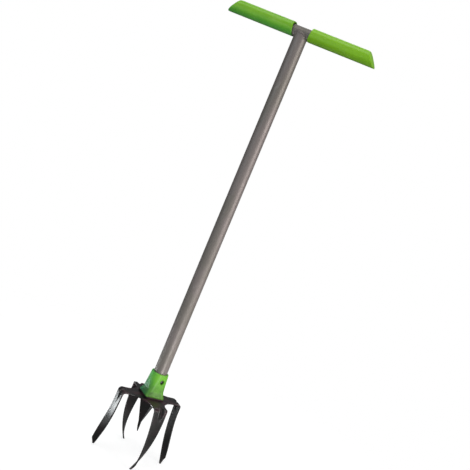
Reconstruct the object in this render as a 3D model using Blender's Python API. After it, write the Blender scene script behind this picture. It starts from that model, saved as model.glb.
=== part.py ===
"""Hand soil aerator: a steel tube with a cross bar and two moulded grips on top,
and at its foot a plastic ferrule over a head of four twisted tines round a spike.

Metres, +Z up. The origin lies on the tube's axis at the level of the tine tips.
The cross bar runs along X, and the tines point out along the diagonals of X and Y.
"""
import math

import bmesh
import bpy
from mathutils import Vector

# Fits
CLEARANCE = 0.0003          # gap that touching pieces keep
MITRE_GAP = 0.0004          # gap between the roots of two tines

# Heights, from the tine tips
ARM_LEVEL = 0.1335          # middle of the flat arms
SHAFT_RISE = 0.8001         # from the arms to the axis of the cross bar

# Main tube and cross bar
SHAFT_DIAMETER = 0.028
SHAFT_WALL = 0.0012
SHAFT_LIFT = 0.0075         # foot of the tube above the hub plate
BAR_DIAMETER = 0.022
BAR_WALL = 0.0012
BAR_LENGTH = 0.276
TEE_WELD_RADIUS = 0.0022
TEE_DROP = 0.0014           # top of the tube's cheeks below the bar's axis

# Grips
GRIP_END_BOTTOM = 0.1605    # outer end from the tube's axis, at the underside
GRIP_END_TOP = 0.1408       # the same at the top
GRIP_INNER_BOTTOM = 0.0030  # inner end past the tube's side, at the underside
GRIP_INNER_TOP = 0.0068     # the same at the top
GRIP_PAD = 0.0043           # above the bar
GRIP_FLOOR = 0.0025         # below the bar
GRIP_CHEEK = 0.0055         # in front of the bar and behind it
GRIP_TOP_RADIUS = 0.0110
GRIP_BOTTOM_RADIUS = 0.0125
GRIP_EDGE_RADIUS = 0.0012
GRIP_SHELL = 0.0022         # wall round the open pocket at the inner end
GRIP_POCKET_DEPTH = 0.016

# Ferrule over the foot of the tube
COLLAR_WALL = 0.0040        # round the tube, at the top
FERRULE_HEIGHT = 0.0505
FERRULE_BASE = 0.0425       # side of the square base
FERRULE_BASE_RADIUS = 0.0035
FERRULE_FLARE_HEIGHT = 0.0160   # where the skirt starts to flare out more
FERRULE_WAIST = 0.0182      # half the ferrule's width at that height
FERRULE_BASE_LIP = 0.0025
FERRULE_ROUNDING_POWER = 0.8    # how soon the corners grow round on the way up
FERRULE_SHELL = 0.0030
FERRULE_GRIP = 0.0280       # length that holds the tube
FERRULE_TOP_EDGE = 0.0010

# Bolt and nut through ferrule, tube and spigot
BOLT_DIAMETER = 0.0050
BOLT_HEAD_DIAMETER = 0.0086
BOLT_HEAD_HEIGHT = 0.0026
BOLT_KEY = 0.0030
BOLT_KEY_DEPTH = 0.0016
BOLT_TAIL = 0.0005          # thread past the nut
BOLT_BELOW_TOP = 0.0155     # below the ferrule's top
BOLT_AZIMUTH = math.radians(-33)
NUT_ACROSS = 0.0080
NUT_HEIGHT = 0.0028
PILOT_PLAY = 0.0003         # radial play of the bolt in its holes

# Spigot and hub plate
SPIGOT_WALL = 0.0025
SPIGOT_LENGTH = 0.090
SPIGOT_WELD_LEG = 0.0035
HUB_PLATE_SIDE = 0.0440
HUB_PLATE_THICKNESS = 0.0030
HUB_PLATE_RADIUS = 0.0040

# Tines
TINE_THICKNESS = 0.0030
TINE_ARM_WIDTH = 0.0325
TINE_WEB_RADIUS = 0.0360    # hollow corner between two arms
TINE_ROOT_START = 0.0060    # root's blunt point from the axis
TINE_REACH = 0.0672         # middle of the blade from the axis, at the bend
TINE_BEND_RADIUS = 0.0060
TINE_TOP_WIDTH = 0.0283
TINE_LOW_WIDTH = 0.0103
TINE_LEAN = 0.0038          # outward drift of the guide edge, bend to tip
TINE_LEAN_POWER = 0.65
TINE_SWEEP = 0.0316         # sideways drift of the guide edge, bend to tip
TINE_SWEEP_POWER = 2.45
TINE_TWIST = math.radians(83)
TINE_TWIST_POWER = 2.17
TINE_TIP_CUT = 0.0137       # height of the slanting cut at the tip
TINE_TIP_WIDTH = 0.0038
DART_WIDTH = 0.0135         # groove pressed into the bend from outside
DART_OFFSET = 0.0038        # from the arm's middle, towards the guide edge
DART_ARM_LENGTH = 0.0200
DART_BLADE_LENGTH = 0.0300
SEAM_WELD_RADIUS = 0.0016
SEAM_WELD_INSET = 0.0030    # from the hollow corner between two arms

# Centre spike
SPIKE_TOP_DIAGONAL = 0.0440
SPIKE_NECK_DIAGONAL = 0.0072
SPIKE_NECK_DEPTH = 0.0570   # below the arms
SPIKE_LENGTH = 0.0775
SPIKE_TIP_DIAGONAL = 0.0022
SPIKE_TIP_LEAN = 0.0025     # sideways, towards +X
SPIKE_HOLLOW = 0.05         # how far the faces sink between the ridges
SPIKE_WELD_LEG = 0.0022

# Smoothness
ROUND_STEPS = 40
SMALL_ROUND_STEPS = 24
ARC_STEPS = 6
FERRULE_SIDE_STEPS = 16
ARM_STEPS = 8
BEND_STEPS = 7
BLADE_STEPS = 24
TIP_STEPS = 4
SHARP_ANGLE = math.radians(32)

# Sizes that follow from the ones above
SHAFT_RADIUS = SHAFT_DIAMETER / 2
BAR_RADIUS = BAR_DIAMETER / 2
BAR_LEVEL = ARM_LEVEL + SHAFT_RISE
ARM_TOP = ARM_LEVEL + TINE_THICKNESS / 2
ARM_UNDERSIDE = ARM_LEVEL - TINE_THICKNESS / 2
PLATE_BASE = ARM_TOP + CLEARANCE
PLATE_TOP = PLATE_BASE + HUB_PLATE_THICKNESS
FERRULE_FOOT = PLATE_TOP + CLEARANCE
FERRULE_TOP = FERRULE_FOOT + FERRULE_HEIGHT
SHAFT_FOOT = PLATE_TOP + SHAFT_LIFT
SPIGOT_RADIUS = SHAFT_RADIUS - SHAFT_WALL - CLEARANCE
SPIGOT_FOOT = PLATE_TOP + CLEARANCE
BORE_RADIUS = SHAFT_RADIUS + CLEARANCE
COLLAR_RADIUS = SHAFT_RADIUS + COLLAR_WALL
BOLT_LEVEL = FERRULE_TOP - BOLT_BELOW_TOP
BOLT_SEAT = SHAFT_RADIUS + CLEARANCE   # where the head and the nut bear on the tube
HOLE_RADIUS = BOLT_DIAMETER / 2 + PILOT_PLAY
TINE_AZIMUTHS = {
    "tine_rear_right": math.radians(45),
    "tine_rear_left": math.radians(135),
    "tine_front_left": math.radians(225),
    "tine_front_right": math.radians(315),
}

SEAM_AZIMUTHS = {
    "seam_weld_right": 0,
    "seam_weld_rear": math.pi / 2,
    "seam_weld_left": math.pi,
    "seam_weld_front": math.pi * 3 / 2,
}


def clear_scene():
    for item in list(bpy.data.objects):
        bpy.data.objects.remove(item, do_unlink=True)


def make_material(name, colour, roughness, metallic):
    material = bpy.data.materials.new(name)
    material.use_nodes = True
    shader = material.node_tree.nodes["Principled BSDF"]
    shader.inputs["Base Color"].default_value = (*colour, 1)
    shader.inputs["Roughness"].default_value = roughness
    shader.inputs["Metallic"].default_value = metallic
    return material


def add_object(name, mesh, material=None, parent=None, location=(0, 0, 0), rotation=(0, 0, 0)):
    item = bpy.data.objects.new(name, mesh)
    bpy.context.collection.objects.link(item)
    if material:
        mesh.materials.append(material)
    item.parent = parent
    item.location = location
    item.rotation_euler = rotation
    return item


def finish_mesh(name, geometry):
    """Turn a bmesh into a mesh whose faces point out and whose rounds look smooth."""
    bmesh.ops.recalc_face_normals(geometry, faces=geometry.faces)
    mesh = bpy.data.meshes.new(name)
    geometry.to_mesh(mesh)
    geometry.free()
    mesh.shade_smooth()
    mesh.set_sharp_from_angle(angle=SHARP_ANGLE)
    return mesh


def loft(name, rings):
    """A closed body through rings of equal point counts, capped at both ends."""
    geometry = bmesh.new()
    rows = [[geometry.verts.new(point) for point in ring] for ring in rings]
    count = len(rows[0])
    for lower, upper in zip(rows, rows[1:]):
        for i in range(count):
            j = (i + 1) % count
            geometry.faces.new((lower[i], lower[j], upper[j], upper[i]))
    geometry.faces.new(rows[0])
    geometry.faces.new(rows[-1])
    return finish_mesh(name, geometry)


def band(name, rings):
    """A closed body through rings that return to the first one, such as a weld bead."""
    geometry = bmesh.new()
    rows = [[geometry.verts.new(point) for point in ring] for ring in rings]
    count = len(rows[0])
    for k, lower in enumerate(rows):
        upper = rows[(k + 1) % len(rows)]
        for i in range(count):
            j = (i + 1) % count
            geometry.faces.new((lower[i], lower[j], upper[j], upper[i]))
    return finish_mesh(name, geometry)


def turned(name, profile, steps):
    """A body of revolution about Z from a closed outline of (radius, height) points."""
    rings = []
    for k in range(steps):
        angle = math.tau * k / steps
        rings.append([(r * math.cos(angle), r * math.sin(angle), z) for r, z in profile])
    return band(name, rings)


def pipe(name, radius, wall, length, steps):
    inner = radius - wall
    return turned(name, [(radius, 0), (radius, length), (inner, length), (inner, 0)], steps)


def circle_points(radius, z, steps, phase=0.0):
    turns = [math.tau * k / steps + phase for k in range(steps)]
    return [(radius * math.cos(a), radius * math.sin(a), z) for a in turns]


def rounded_box(half_width, low, high, low_radius, high_radius, steps=ARC_STEPS):
    """Outline of a box with round corners, counterclockwise from its lower right."""
    corners = (
        (half_width, low, low_radius, -90),
        (half_width, high, high_radius, 0),
        (-half_width, high, high_radius, 90),
        (-half_width, low, low_radius, 180),
    )
    outline = []
    for across, up, radius, start in corners:
        centre_across = across - math.copysign(radius, across)
        centre_up = up - radius if up == high else up + radius
        for k in range(steps + 1):
            angle = math.radians(start + 90 * k / steps)
            outline.append((centre_across + radius * math.cos(angle),
                            centre_up + radius * math.sin(angle)))
    return outline


def add_cutter(name, mesh, parent, location=(0, 0, 0), rotation=(0, 0, 0)):
    cutter = add_object(name, mesh, None, parent, location, rotation)
    cutter.hide_render = True
    cutter.display_type = "WIRE"
    return cutter


def cut(item, cutter):
    modifier = item.modifiers.new(cutter.name, "BOOLEAN")
    modifier.operation = "DIFFERENCE"
    modifier.object = cutter


def rod(name, radius, length, steps=SMALL_ROUND_STEPS):
    """A plain cylinder about Z, its middle at the origin."""
    half = length / 2
    return loft(name, [circle_points(radius, -half, steps), circle_points(radius, half, steps)])


def bolt_hole(name, parent, level):
    """A cutter along the bolt, right across the tool, for the bolt's clearance holes."""
    rotation = (0, math.pi / 2, BOLT_AZIMUTH)
    length = 4 * COLLAR_RADIUS
    return add_cutter(name, rod(name, HOLE_RADIUS, length), parent, (0, 0, level), rotation)


def make_shaft(material, foot, handle):
    """Main tube, coped at the top so that it fits under the cross bar."""
    length = BAR_LEVEL - TEE_DROP - SHAFT_FOOT
    mesh = pipe("shaft_tube", SHAFT_RADIUS, SHAFT_WALL, length, ROUND_STEPS)
    shaft = add_object("shaft_tube", mesh, material, foot, (0, 0, SHAFT_FOOT))
    cope_mesh = rod("cope", BAR_RADIUS + CLEARANCE, 4 * SHAFT_RADIUS, ROUND_STEPS)
    cope = add_cutter("cope_cutter", cope_mesh, handle, (0, 0, 0), (0, math.pi / 2, 0))
    cut(shaft, cope)
    cut(shaft, bolt_hole("shaft_bolt_hole", foot, BOLT_LEVEL))


def make_bar(material, handle):
    mesh = pipe("cross_bar", BAR_RADIUS, BAR_WALL, BAR_LENGTH, ROUND_STEPS)
    add_object("cross_bar", mesh, material, handle, (-BAR_LENGTH / 2, 0, 0), (0, math.pi / 2, 0))


def make_tee_weld(material, handle):
    """Bead round the coped end of the main tube."""
    seat = BAR_RADIUS + CLEARANCE
    wall_radius = SHAFT_RADIUS - SHAFT_WALL / 2
    softness = (0.35 * seat) ** 2
    path = []
    steps = 2 * ROUND_STEPS
    for k in range(steps):
        angle = math.tau * k / steps
        x = wall_radius * math.sin(angle)
        y = -wall_radius * math.cos(angle)
        drop = seat ** 2 - y ** 2
        z = -math.sqrt((drop + math.hypot(drop, softness)) / 2)
        path.append(Vector((x, y, z)))
    rings = []
    sides = 10
    for k, point in enumerate(path):
        ahead = path[(k + 1) % steps] - path[k - 1]
        out = Vector((point.x, point.y, 0)).normalized()
        along = ahead.normalized()
        rise = along.cross(out).normalized()
        out = rise.cross(along)
        ring = []
        for i in range(sides):
            turn = math.tau * i / sides
            ring.append(point + TEE_WELD_RADIUS * (math.cos(turn) * out + math.sin(turn) * rise))
        rings.append(ring)
    weld = add_object("tee_weld", band("tee_weld", rings), material, handle)
    room = 4 * SHAFT_RADIUS
    bar_mesh = rod("weld_bar_room", BAR_RADIUS + CLEARANCE, room, ROUND_STEPS)
    bar_room = add_cutter("weld_bar_room", bar_mesh, handle, (0, 0, 0), (0, math.pi / 2, 0))
    shaft_mesh = rod("weld_shaft_room", SHAFT_RADIUS + CLEARANCE, room, ROUND_STEPS)
    shaft_top = CLEARANCE - TEE_DROP
    shaft_room = add_cutter("weld_shaft_room", shaft_mesh, handle, (0, 0, shaft_top - room / 2))
    cut(weld, bar_room)
    cut(weld, shaft_room)


def grip_outline(inset):
    """Grip section across the bar, as (y, z) points about the bar's axis."""
    half = BAR_RADIUS + GRIP_CHEEK - inset
    low = -BAR_RADIUS - GRIP_FLOOR + inset
    high = BAR_RADIUS + GRIP_PAD - inset
    low_radius = GRIP_BOTTOM_RADIUS - inset
    high_radius = GRIP_TOP_RADIUS - inset
    return rounded_box(half, low, high, low_radius, high_radius)


def grip_end(bottom, top, z):
    """Where a slanting end of the grip lies at height z."""
    low = -BAR_RADIUS - GRIP_FLOOR
    high = BAR_RADIUS + GRIP_PAD
    return bottom + (top - bottom) * (z - low) / (high - low)


def make_grip(name, side, material, handle):
    """Moulded sleeve, closed at its outer end, with an open pocket at its inner end."""
    inner_bottom = SHAFT_RADIUS + GRIP_INNER_BOTTOM
    inner_top = SHAFT_RADIUS + GRIP_INNER_TOP
    rings = []
    for k in range(4):
        turn = math.pi / 2 * k / 3
        inset = GRIP_EDGE_RADIUS * (1 - math.sin(turn))
        back = GRIP_EDGE_RADIUS * (1 - math.cos(turn))
        outline = grip_outline(inset)
        rings.append([(side * (grip_end(inner_bottom, inner_top, z) + back), y, z)
                      for y, z in outline])
    for k in range(4):
        turn = math.pi / 2 * (3 - k) / 3
        inset = GRIP_EDGE_RADIUS * (1 - math.sin(turn))
        back = GRIP_EDGE_RADIUS * (1 - math.cos(turn))
        outline = grip_outline(inset)
        rings.append([(side * (grip_end(GRIP_END_BOTTOM, GRIP_END_TOP, z) - back), y, z)
                      for y, z in outline])
    grip = add_object(name, loft(name, rings), material, handle)

    half = BAR_RADIUS + GRIP_CHEEK - GRIP_SHELL
    low = -BAR_RADIUS - CLEARANCE
    high = BAR_RADIUS + GRIP_PAD - GRIP_SHELL
    low_radius = min(GRIP_BOTTOM_RADIUS, half, (high - low) / 2)
    high_radius = min(max(GRIP_TOP_RADIUS - GRIP_SHELL, CLEARANCE), half, (high - low) / 2)
    outline = rounded_box(half, low, high, low_radius, high_radius)
    pocket_rings = []
    for x in (SHAFT_RADIUS - GRIP_SHELL, inner_bottom + GRIP_POCKET_DEPTH):
        pocket_rings.append([(side * x, y, z) for y, z in outline])
    pocket = add_cutter(name + "_pocket", loft(name + "_pocket", pocket_rings), handle)
    bore_end = BAR_LENGTH / 2 + CLEARANCE
    bore_mesh = rod(name + "_bore", BAR_RADIUS + CLEARANCE, bore_end, ROUND_STEPS)
    bore = add_cutter(name + "_bore", bore_mesh, handle, (side * bore_end / 2, 0, 0), (0, math.pi / 2, 0))
    cut(grip, pocket)
    cut(grip, bore)


def square_reach(half, radius, angle):
    """Distance from the centre of a square with round corners to its side."""
    turn = abs((angle + math.pi / 4) % (math.pi / 2) - math.pi / 4)
    inner = half - radius
    if math.tan(turn) * half <= inner:
        return half / math.cos(turn)
    along = inner * (math.cos(turn) + math.sin(turn))
    return along + math.sqrt(along ** 2 - 2 * inner ** 2 + radius ** 2)


def square_ring(half, radius, z):
    """Ring in the shape of a square with round corners."""
    ring = []
    for k in range(4 * FERRULE_SIDE_STEPS):
        place = 2 * (k % FERRULE_SIDE_STEPS) / FERRULE_SIDE_STEPS - 1
        bunched = math.copysign(1 - (1 - abs(place)) ** 1.5, place)
        angle = math.pi / 2 * (k // FERRULE_SIDE_STEPS) + math.pi / 4 * bunched
        reach = square_reach(half, radius, angle)
        ring.append((reach * math.cos(angle), reach * math.sin(angle), z))
    return ring


def ferrule_half_width(height):
    """Half the ferrule's width across its flats, at a height above its foot."""
    base = FERRULE_BASE / 2
    if height <= FERRULE_BASE_LIP:
        return base
    if height <= FERRULE_FLARE_HEIGHT:
        share = (height - FERRULE_BASE_LIP) / (FERRULE_FLARE_HEIGHT - FERRULE_BASE_LIP)
        return base + (FERRULE_WAIST - base) * math.sin(share * math.pi / 2)
    share = (height - FERRULE_FLARE_HEIGHT) / (FERRULE_HEIGHT - FERRULE_FLARE_HEIGHT)
    return FERRULE_WAIST + (COLLAR_RADIUS - FERRULE_WAIST) * share


def ferrule_ring(height, inset):
    """Ring of the ferrule's skin: square at the foot, its corners rounder on the way up."""
    share = (height / FERRULE_HEIGHT) ** FERRULE_ROUNDING_POWER
    half = ferrule_half_width(height)
    radius = FERRULE_BASE_RADIUS + (half - FERRULE_BASE_RADIUS) * share
    return square_ring(half - inset, max(radius - inset, CLEARANCE), height)


def make_ferrule(material, foot):
    """Moulded ferrule: round collar above, square skirt below, hollow inside."""
    levels = [0, FERRULE_BASE_LIP]
    levels += [FERRULE_FLARE_HEIGHT * k / 6 for k in range(2, 7)]
    rest = FERRULE_HEIGHT - FERRULE_TOP_EDGE - FERRULE_FLARE_HEIGHT
    levels += [FERRULE_FLARE_HEIGHT + rest * k / 6 for k in range(1, 7)]
    rings = [ferrule_ring(level, 0) for level in levels]
    rings.append(ferrule_ring(FERRULE_HEIGHT, FERRULE_TOP_EDGE))
    rotation = (0, 0, math.pi / 4)
    ferrule = add_object("ferrule", loft("ferrule", rings), material, foot, (0, 0, FERRULE_FOOT), rotation)

    bore_mesh = rod("ferrule_bore", BORE_RADIUS, 3 * FERRULE_HEIGHT, ROUND_STEPS)
    bore = add_cutter("ferrule_bore", bore_mesh, foot, (0, 0, FERRULE_FOOT))
    roof = FERRULE_HEIGHT - FERRULE_GRIP
    inside = [ferrule_ring(roof * k / 5, FERRULE_SHELL) for k in range(6)]
    inside.insert(0, [(x, y, -FERRULE_SHELL) for x, y, z in inside[0]])
    hollow_mesh = loft("ferrule_hollow", inside)
    hollow = add_cutter("ferrule_hollow", hollow_mesh, foot, (0, 0, FERRULE_FOOT), rotation)
    cut(ferrule, bore)
    cut(ferrule, hollow)

    reach = 2 * COLLAR_RADIUS
    direction = Vector((math.cos(BOLT_AZIMUTH), math.sin(BOLT_AZIMUTH), 0))
    middle = direction * (SHAFT_RADIUS / 2 + reach / 2)
    turn = (0, math.pi / 2, BOLT_AZIMUTH)
    head_mesh = rod("head_room", BOLT_HEAD_DIAMETER / 2 + CLEARANCE, reach)
    head_room = add_cutter("head_room", head_mesh, foot, (middle.x, middle.y, BOLT_LEVEL), turn)
    nut_corner = (NUT_ACROSS / 2 + CLEARANCE) / math.cos(math.pi / 6)
    nut_mesh = rod("nut_room", nut_corner, reach, 6)
    nut_room = add_cutter("nut_room", nut_mesh, foot, (-middle.x, -middle.y, BOLT_LEVEL), turn)
    cut(ferrule, head_room)
    cut(ferrule, nut_room)


def make_bolt(steel, foot):
    """Button-head bolt and hexagon nut, across the ferrule, tube and spigot."""
    radius = BOLT_DIAMETER / 2
    head = BOLT_HEAD_DIAMETER / 2
    head_base = BOLT_SEAT
    head_top = head_base + BOLT_HEAD_HEIGHT
    nut_base = BOLT_SEAT
    tail = -(nut_base + NUT_HEIGHT + BOLT_TAIL)
    steps = SMALL_ROUND_STEPS
    rings = [
        circle_points(radius * 0.86, tail, steps),
        circle_points(radius, tail + radius * 0.3, steps),
        circle_points(radius, head_base, steps),
        circle_points(head, head_base, steps),
    ]
    for k in range(1, 5):
        turn = math.pi / 2 * k / 5
        rings.append(circle_points(head * (0.45 + 0.55 * math.cos(turn)),
                                   head_base + BOLT_HEAD_HEIGHT * (0.25 + 0.75 * math.sin(turn)), steps))
    rings.append(circle_points(head * 0.45, head_top, steps))
    turn = (0, math.pi / 2, BOLT_AZIMUTH)
    place = (0, 0, BOLT_LEVEL)
    bolt = add_object("ferrule_bolt", loft("ferrule_bolt", rings), steel, foot, place, turn)
    key_mesh = loft("bolt_key", [
        circle_points(BOLT_KEY / 2 / math.cos(math.pi / 6), head_top - BOLT_KEY_DEPTH, 6),
        circle_points(BOLT_KEY / 2 / math.cos(math.pi / 6), head_top + BOLT_KEY_DEPTH, 6),
    ])
    cut(bolt, add_cutter("bolt_key", key_mesh, foot, place, turn))

    corner = NUT_ACROSS / 2 / math.cos(math.pi / 6)
    flat = NUT_ACROSS / 2
    outer = [
        [(x, y, -nut_base) for x, y, z in circle_points(corner, 0, 6)],
        [(x, y, -nut_base - NUT_HEIGHT) for x, y, z in circle_points(corner, 0, 6)],
    ]
    nut = add_object("ferrule_nut", loft("ferrule_nut", outer), steel, foot, place, turn)
    thread_mesh = rod("nut_thread", radius + CLEARANCE, 4 * (nut_base + flat))
    cut(nut, add_cutter("nut_thread", thread_mesh, foot, place, turn))


def make_spigot(steel, weld_metal, foot):
    """Steel stub inside the main tube, with the bead that fixes it to the hub plate."""
    mesh = pipe("spigot", SPIGOT_RADIUS, SPIGOT_WALL, SPIGOT_LENGTH, ROUND_STEPS)
    spigot = add_object("spigot", mesh, steel, foot, (0, 0, SPIGOT_FOOT))
    cut(spigot, bolt_hole("spigot_bolt_hole", foot, BOLT_LEVEL))
    inner = SPIGOT_RADIUS + CLEARANCE
    leg = SPIGOT_WELD_LEG
    profile = [(inner, 0), (inner + leg, 0), (inner + 0.55 * leg, 0.55 * leg), (inner, leg)]
    bead = turned("spigot_weld", profile, ROUND_STEPS)
    add_object("spigot_weld", bead, weld_metal, foot, (0, 0, SPIGOT_FOOT))


def make_hub_plate(steel, foot):
    half = HUB_PLATE_SIDE / 2
    outline = rounded_box(half, -half, half, HUB_PLATE_RADIUS, HUB_PLATE_RADIUS)
    rings = [[(x, y, z) for x, y in outline] for z in (0, HUB_PLATE_THICKNESS)]
    mesh = loft("hub_plate", rings)
    add_object("hub_plate", mesh, steel, foot, (0, 0, PLATE_BASE), (0, 0, math.pi / 4))


def web_half_width(distance):
    """Half the width of a tine's flat root, at a distance from the axis."""
    arm = TINE_ARM_WIDTH / 2
    hollow = arm + TINE_WEB_RADIUS
    if distance >= hollow:
        return arm
    fillet = hollow - math.sqrt(TINE_WEB_RADIUS ** 2 - min(hollow - distance, TINE_WEB_RADIUS) ** 2)
    return min(distance - MITRE_GAP / math.sqrt(2), fillet)


def web_corner():
    """Distance along an arm at which the hollow corner meets its neighbour's."""
    return (TINE_ARM_WIDTH / 2 + TINE_WEB_RADIUS) - TINE_WEB_RADIUS / math.sqrt(2)


def tine_stations():
    """Stations along a tine: guide edge, direction across, width, run from the bend."""
    bend_start = TINE_REACH - TINE_BEND_RADIUS
    arc = TINE_BEND_RADIUS * math.pi / 2
    across = Vector((0, 1, 0))
    corner = web_corner()
    marks = [TINE_ROOT_START, (TINE_ROOT_START + corner) / 2]
    marks += [corner + (bend_start - corner) * k / ARM_STEPS for k in range(ARM_STEPS + 1)]
    stations = []
    for distance in marks:
        half = web_half_width(distance)
        stations.append((Vector((distance, half, 0)), across, 2 * half, distance - bend_start - arc / 2))

    start_half = web_half_width(bend_start)
    for k in range(1, BEND_STEPS):
        share = k / BEND_STEPS
        turn = math.pi / 2 * share
        half = start_half + (TINE_TOP_WIDTH / 2 - start_half) * share
        x = bend_start + TINE_BEND_RADIUS * math.sin(turn)
        z = TINE_BEND_RADIUS * (math.cos(turn) - 1)
        stations.append((Vector((x, half, z)), across, 2 * half, arc * (share - 0.5)))

    drop = ARM_LEVEL - TINE_BEND_RADIUS
    knee = 1 - TINE_TIP_CUT / drop
    shares = [knee * (k / BLADE_STEPS) ** 1.2 for k in range(BLADE_STEPS + 1)]
    shares += [knee + (1 - knee) * k / TIP_STEPS for k in range(1, TIP_STEPS + 1)]
    for share in shares:
        low = drop * share
        x = TINE_REACH + TINE_LEAN * share ** TINE_LEAN_POWER
        y = TINE_TOP_WIDTH / 2 - TINE_SWEEP * share ** TINE_SWEEP_POWER
        twist = TINE_TWIST * share ** TINE_TWIST_POWER
        direction = Vector((-math.sin(twist), math.cos(twist), 0))
        width = TINE_TOP_WIDTH + (TINE_LOW_WIDTH - TINE_TOP_WIDTH) * share
        above_tip = drop - low
        if above_tip < TINE_TIP_CUT:
            width = TINE_TIP_WIDTH + (width - TINE_TIP_WIDTH) * above_tip / TINE_TIP_CUT
        edge = Vector((x, y, -TINE_BEND_RADIUS - low))
        stations.append((edge, direction, width, arc / 2 + low))
    return stations


def dart_share(run):
    """How far along the dart a station lies, from 0 to 1; outside that, no dart."""
    return (run + DART_ARM_LENGTH) / (DART_ARM_LENGTH + DART_BLADE_LENGTH)


def dart_half(run):
    """Half the width of the dart's mouth, or 0 off the dart."""
    share = dart_share(run)
    if not 0 < share < 1:
        return 0
    middle = dart_share(0)
    near = share / middle if share < middle else (1 - share) / (1 - middle)
    return DART_WIDTH / 2 * near ** 0.7


def tine_columns(edge, width, run):
    """Places across a tine, from 0 at its free edge to 1 at its guide edge."""
    beyond = max(-DART_ARM_LENGTH - run, run - DART_BLADE_LENGTH, 0)
    settle = min(beyond / DART_WIDTH, 1)
    middle = (1 - (edge.y - DART_OFFSET) / width) * (1 - settle) + 0.5 * settle
    narrow = max(dart_half(run), DART_WIDTH / 12) / width
    half = narrow * (1 - settle) + 0.22 * settle
    inner = [middle + half * step for step in (-1.3, -1, -0.5, 0, 0.5, 1, 1.3)]
    return [0] + inner + [1]


def make_tine_mesh():
    """One tine: flat webbed root, pressed dart over the bend, twisted tapering blade."""
    stations = tine_stations()
    surface = []
    for edge, across, width, run in stations:
        columns = tine_columns(edge, width, run)
        surface.append([edge - across * width * (1 - c) for c in columns])

    corner = Vector((TINE_REACH, 0, 0))
    runs = [run for edge, across, width, run in stations]
    top = surface[min(range(len(runs)), key=lambda i: abs(runs[i] + DART_ARM_LENGTH))][4]
    foot = surface[min(range(len(runs)), key=lambda i: abs(runs[i] - DART_BLADE_LENGTH))][4]
    for row, run in zip(surface, runs):
        t = dart_share(run)
        if not 0 < t < 1:
            continue
        floor = top * (1 - t) ** 2 + corner * 2 * t * (1 - t) + foot * t ** 2
        for j, depth in ((3, 0.5), (4, 1), (5, 0.5)):
            row[j].x += (floor.x - row[j].x) * depth
            row[j].z += (floor.z - row[j].z) * depth

    last = len(surface[0]) - 1

    def normal(i, j):
        ahead = surface[min(i + 1, len(surface) - 1)][j] - surface[max(i - 1, 0)][j]
        aside = surface[i][min(j + 1, last)] - surface[i][max(j - 1, 0)]
        out = ahead.cross(aside)
        if i == len(surface) - 1:
            out.z = 0
        return out.normalized()

    geometry = bmesh.new()
    half = TINE_THICKNESS / 2
    sides = []
    for sign in (-1, 1):
        rows = []
        for i, row in enumerate(surface):
            rows.append([geometry.verts.new(point + normal(i, j) * half * sign)
                         for j, point in enumerate(row)])
        sides.append(rows)
    outer, inner = sides
    for i in range(len(surface) - 1):
        for j in range(last):
            for rows in sides:
                geometry.faces.new((rows[i][j], rows[i][j + 1], rows[i + 1][j + 1], rows[i + 1][j]))
        for j in (0, last):
            geometry.faces.new((outer[i][j], inner[i][j], inner[i + 1][j], outer[i + 1][j]))
    for i in (0, len(surface) - 1):
        for j in range(last):
            geometry.faces.new((outer[i][j], outer[i][j + 1], inner[i][j + 1], inner[i][j]))
    return finish_mesh("tine", geometry)


def make_tines(steel, foot):
    mesh = make_tine_mesh()
    mesh.materials.append(steel)
    for name, azimuth in TINE_AZIMUTHS.items():
        add_object(name, mesh, None, foot, (0, 0, ARM_LEVEL), (0, 0, azimuth))


def make_seam_welds(weld_metal, foot):
    """Bead under each of the four mitred seams between the tines' roots."""
    start = SPIKE_TOP_DIAGONAL / 2 + SPIKE_WELD_LEG + SEAM_WELD_RADIUS
    corner = web_corner() * math.sqrt(2)
    end = corner - SEAM_WELD_INSET
    arc = [math.pi * i / 7 for i in range(8)]
    rings = []
    for share, size in ((0, 0.45), (0.12, 0.85), (0.35, 1), (0.65, 1), (0.88, 0.85), (1, 0.45)):
        x = start + (end - start) * share
        radius = SEAM_WELD_RADIUS * size
        rings.append([(x, 1.3 * radius * math.cos(a), -radius * math.sin(a)) for a in arc])
    mesh = loft("seam_weld", rings)
    mesh.materials.append(weld_metal)
    for name, azimuth in SEAM_AZIMUTHS.items():
        place = (0, 0, ARM_UNDERSIDE - CLEARANCE)
        add_object(name, mesh, None, foot, place, (0, 0, azimuth))


def spike_ring(diagonal, depth, lean):
    """Four-sided ring with slightly hollow faces and a ridge towards each tine."""
    ring = []
    for k in range(8):
        radius = diagonal / 2
        if k % 2:
            radius *= math.cos(math.pi / 4) * (1 - SPIKE_HOLLOW)
        angle = math.pi / 4 * (k + 1)
        ring.append((radius * math.cos(angle) + lean, radius * math.sin(angle), -depth))
    return ring


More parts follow.
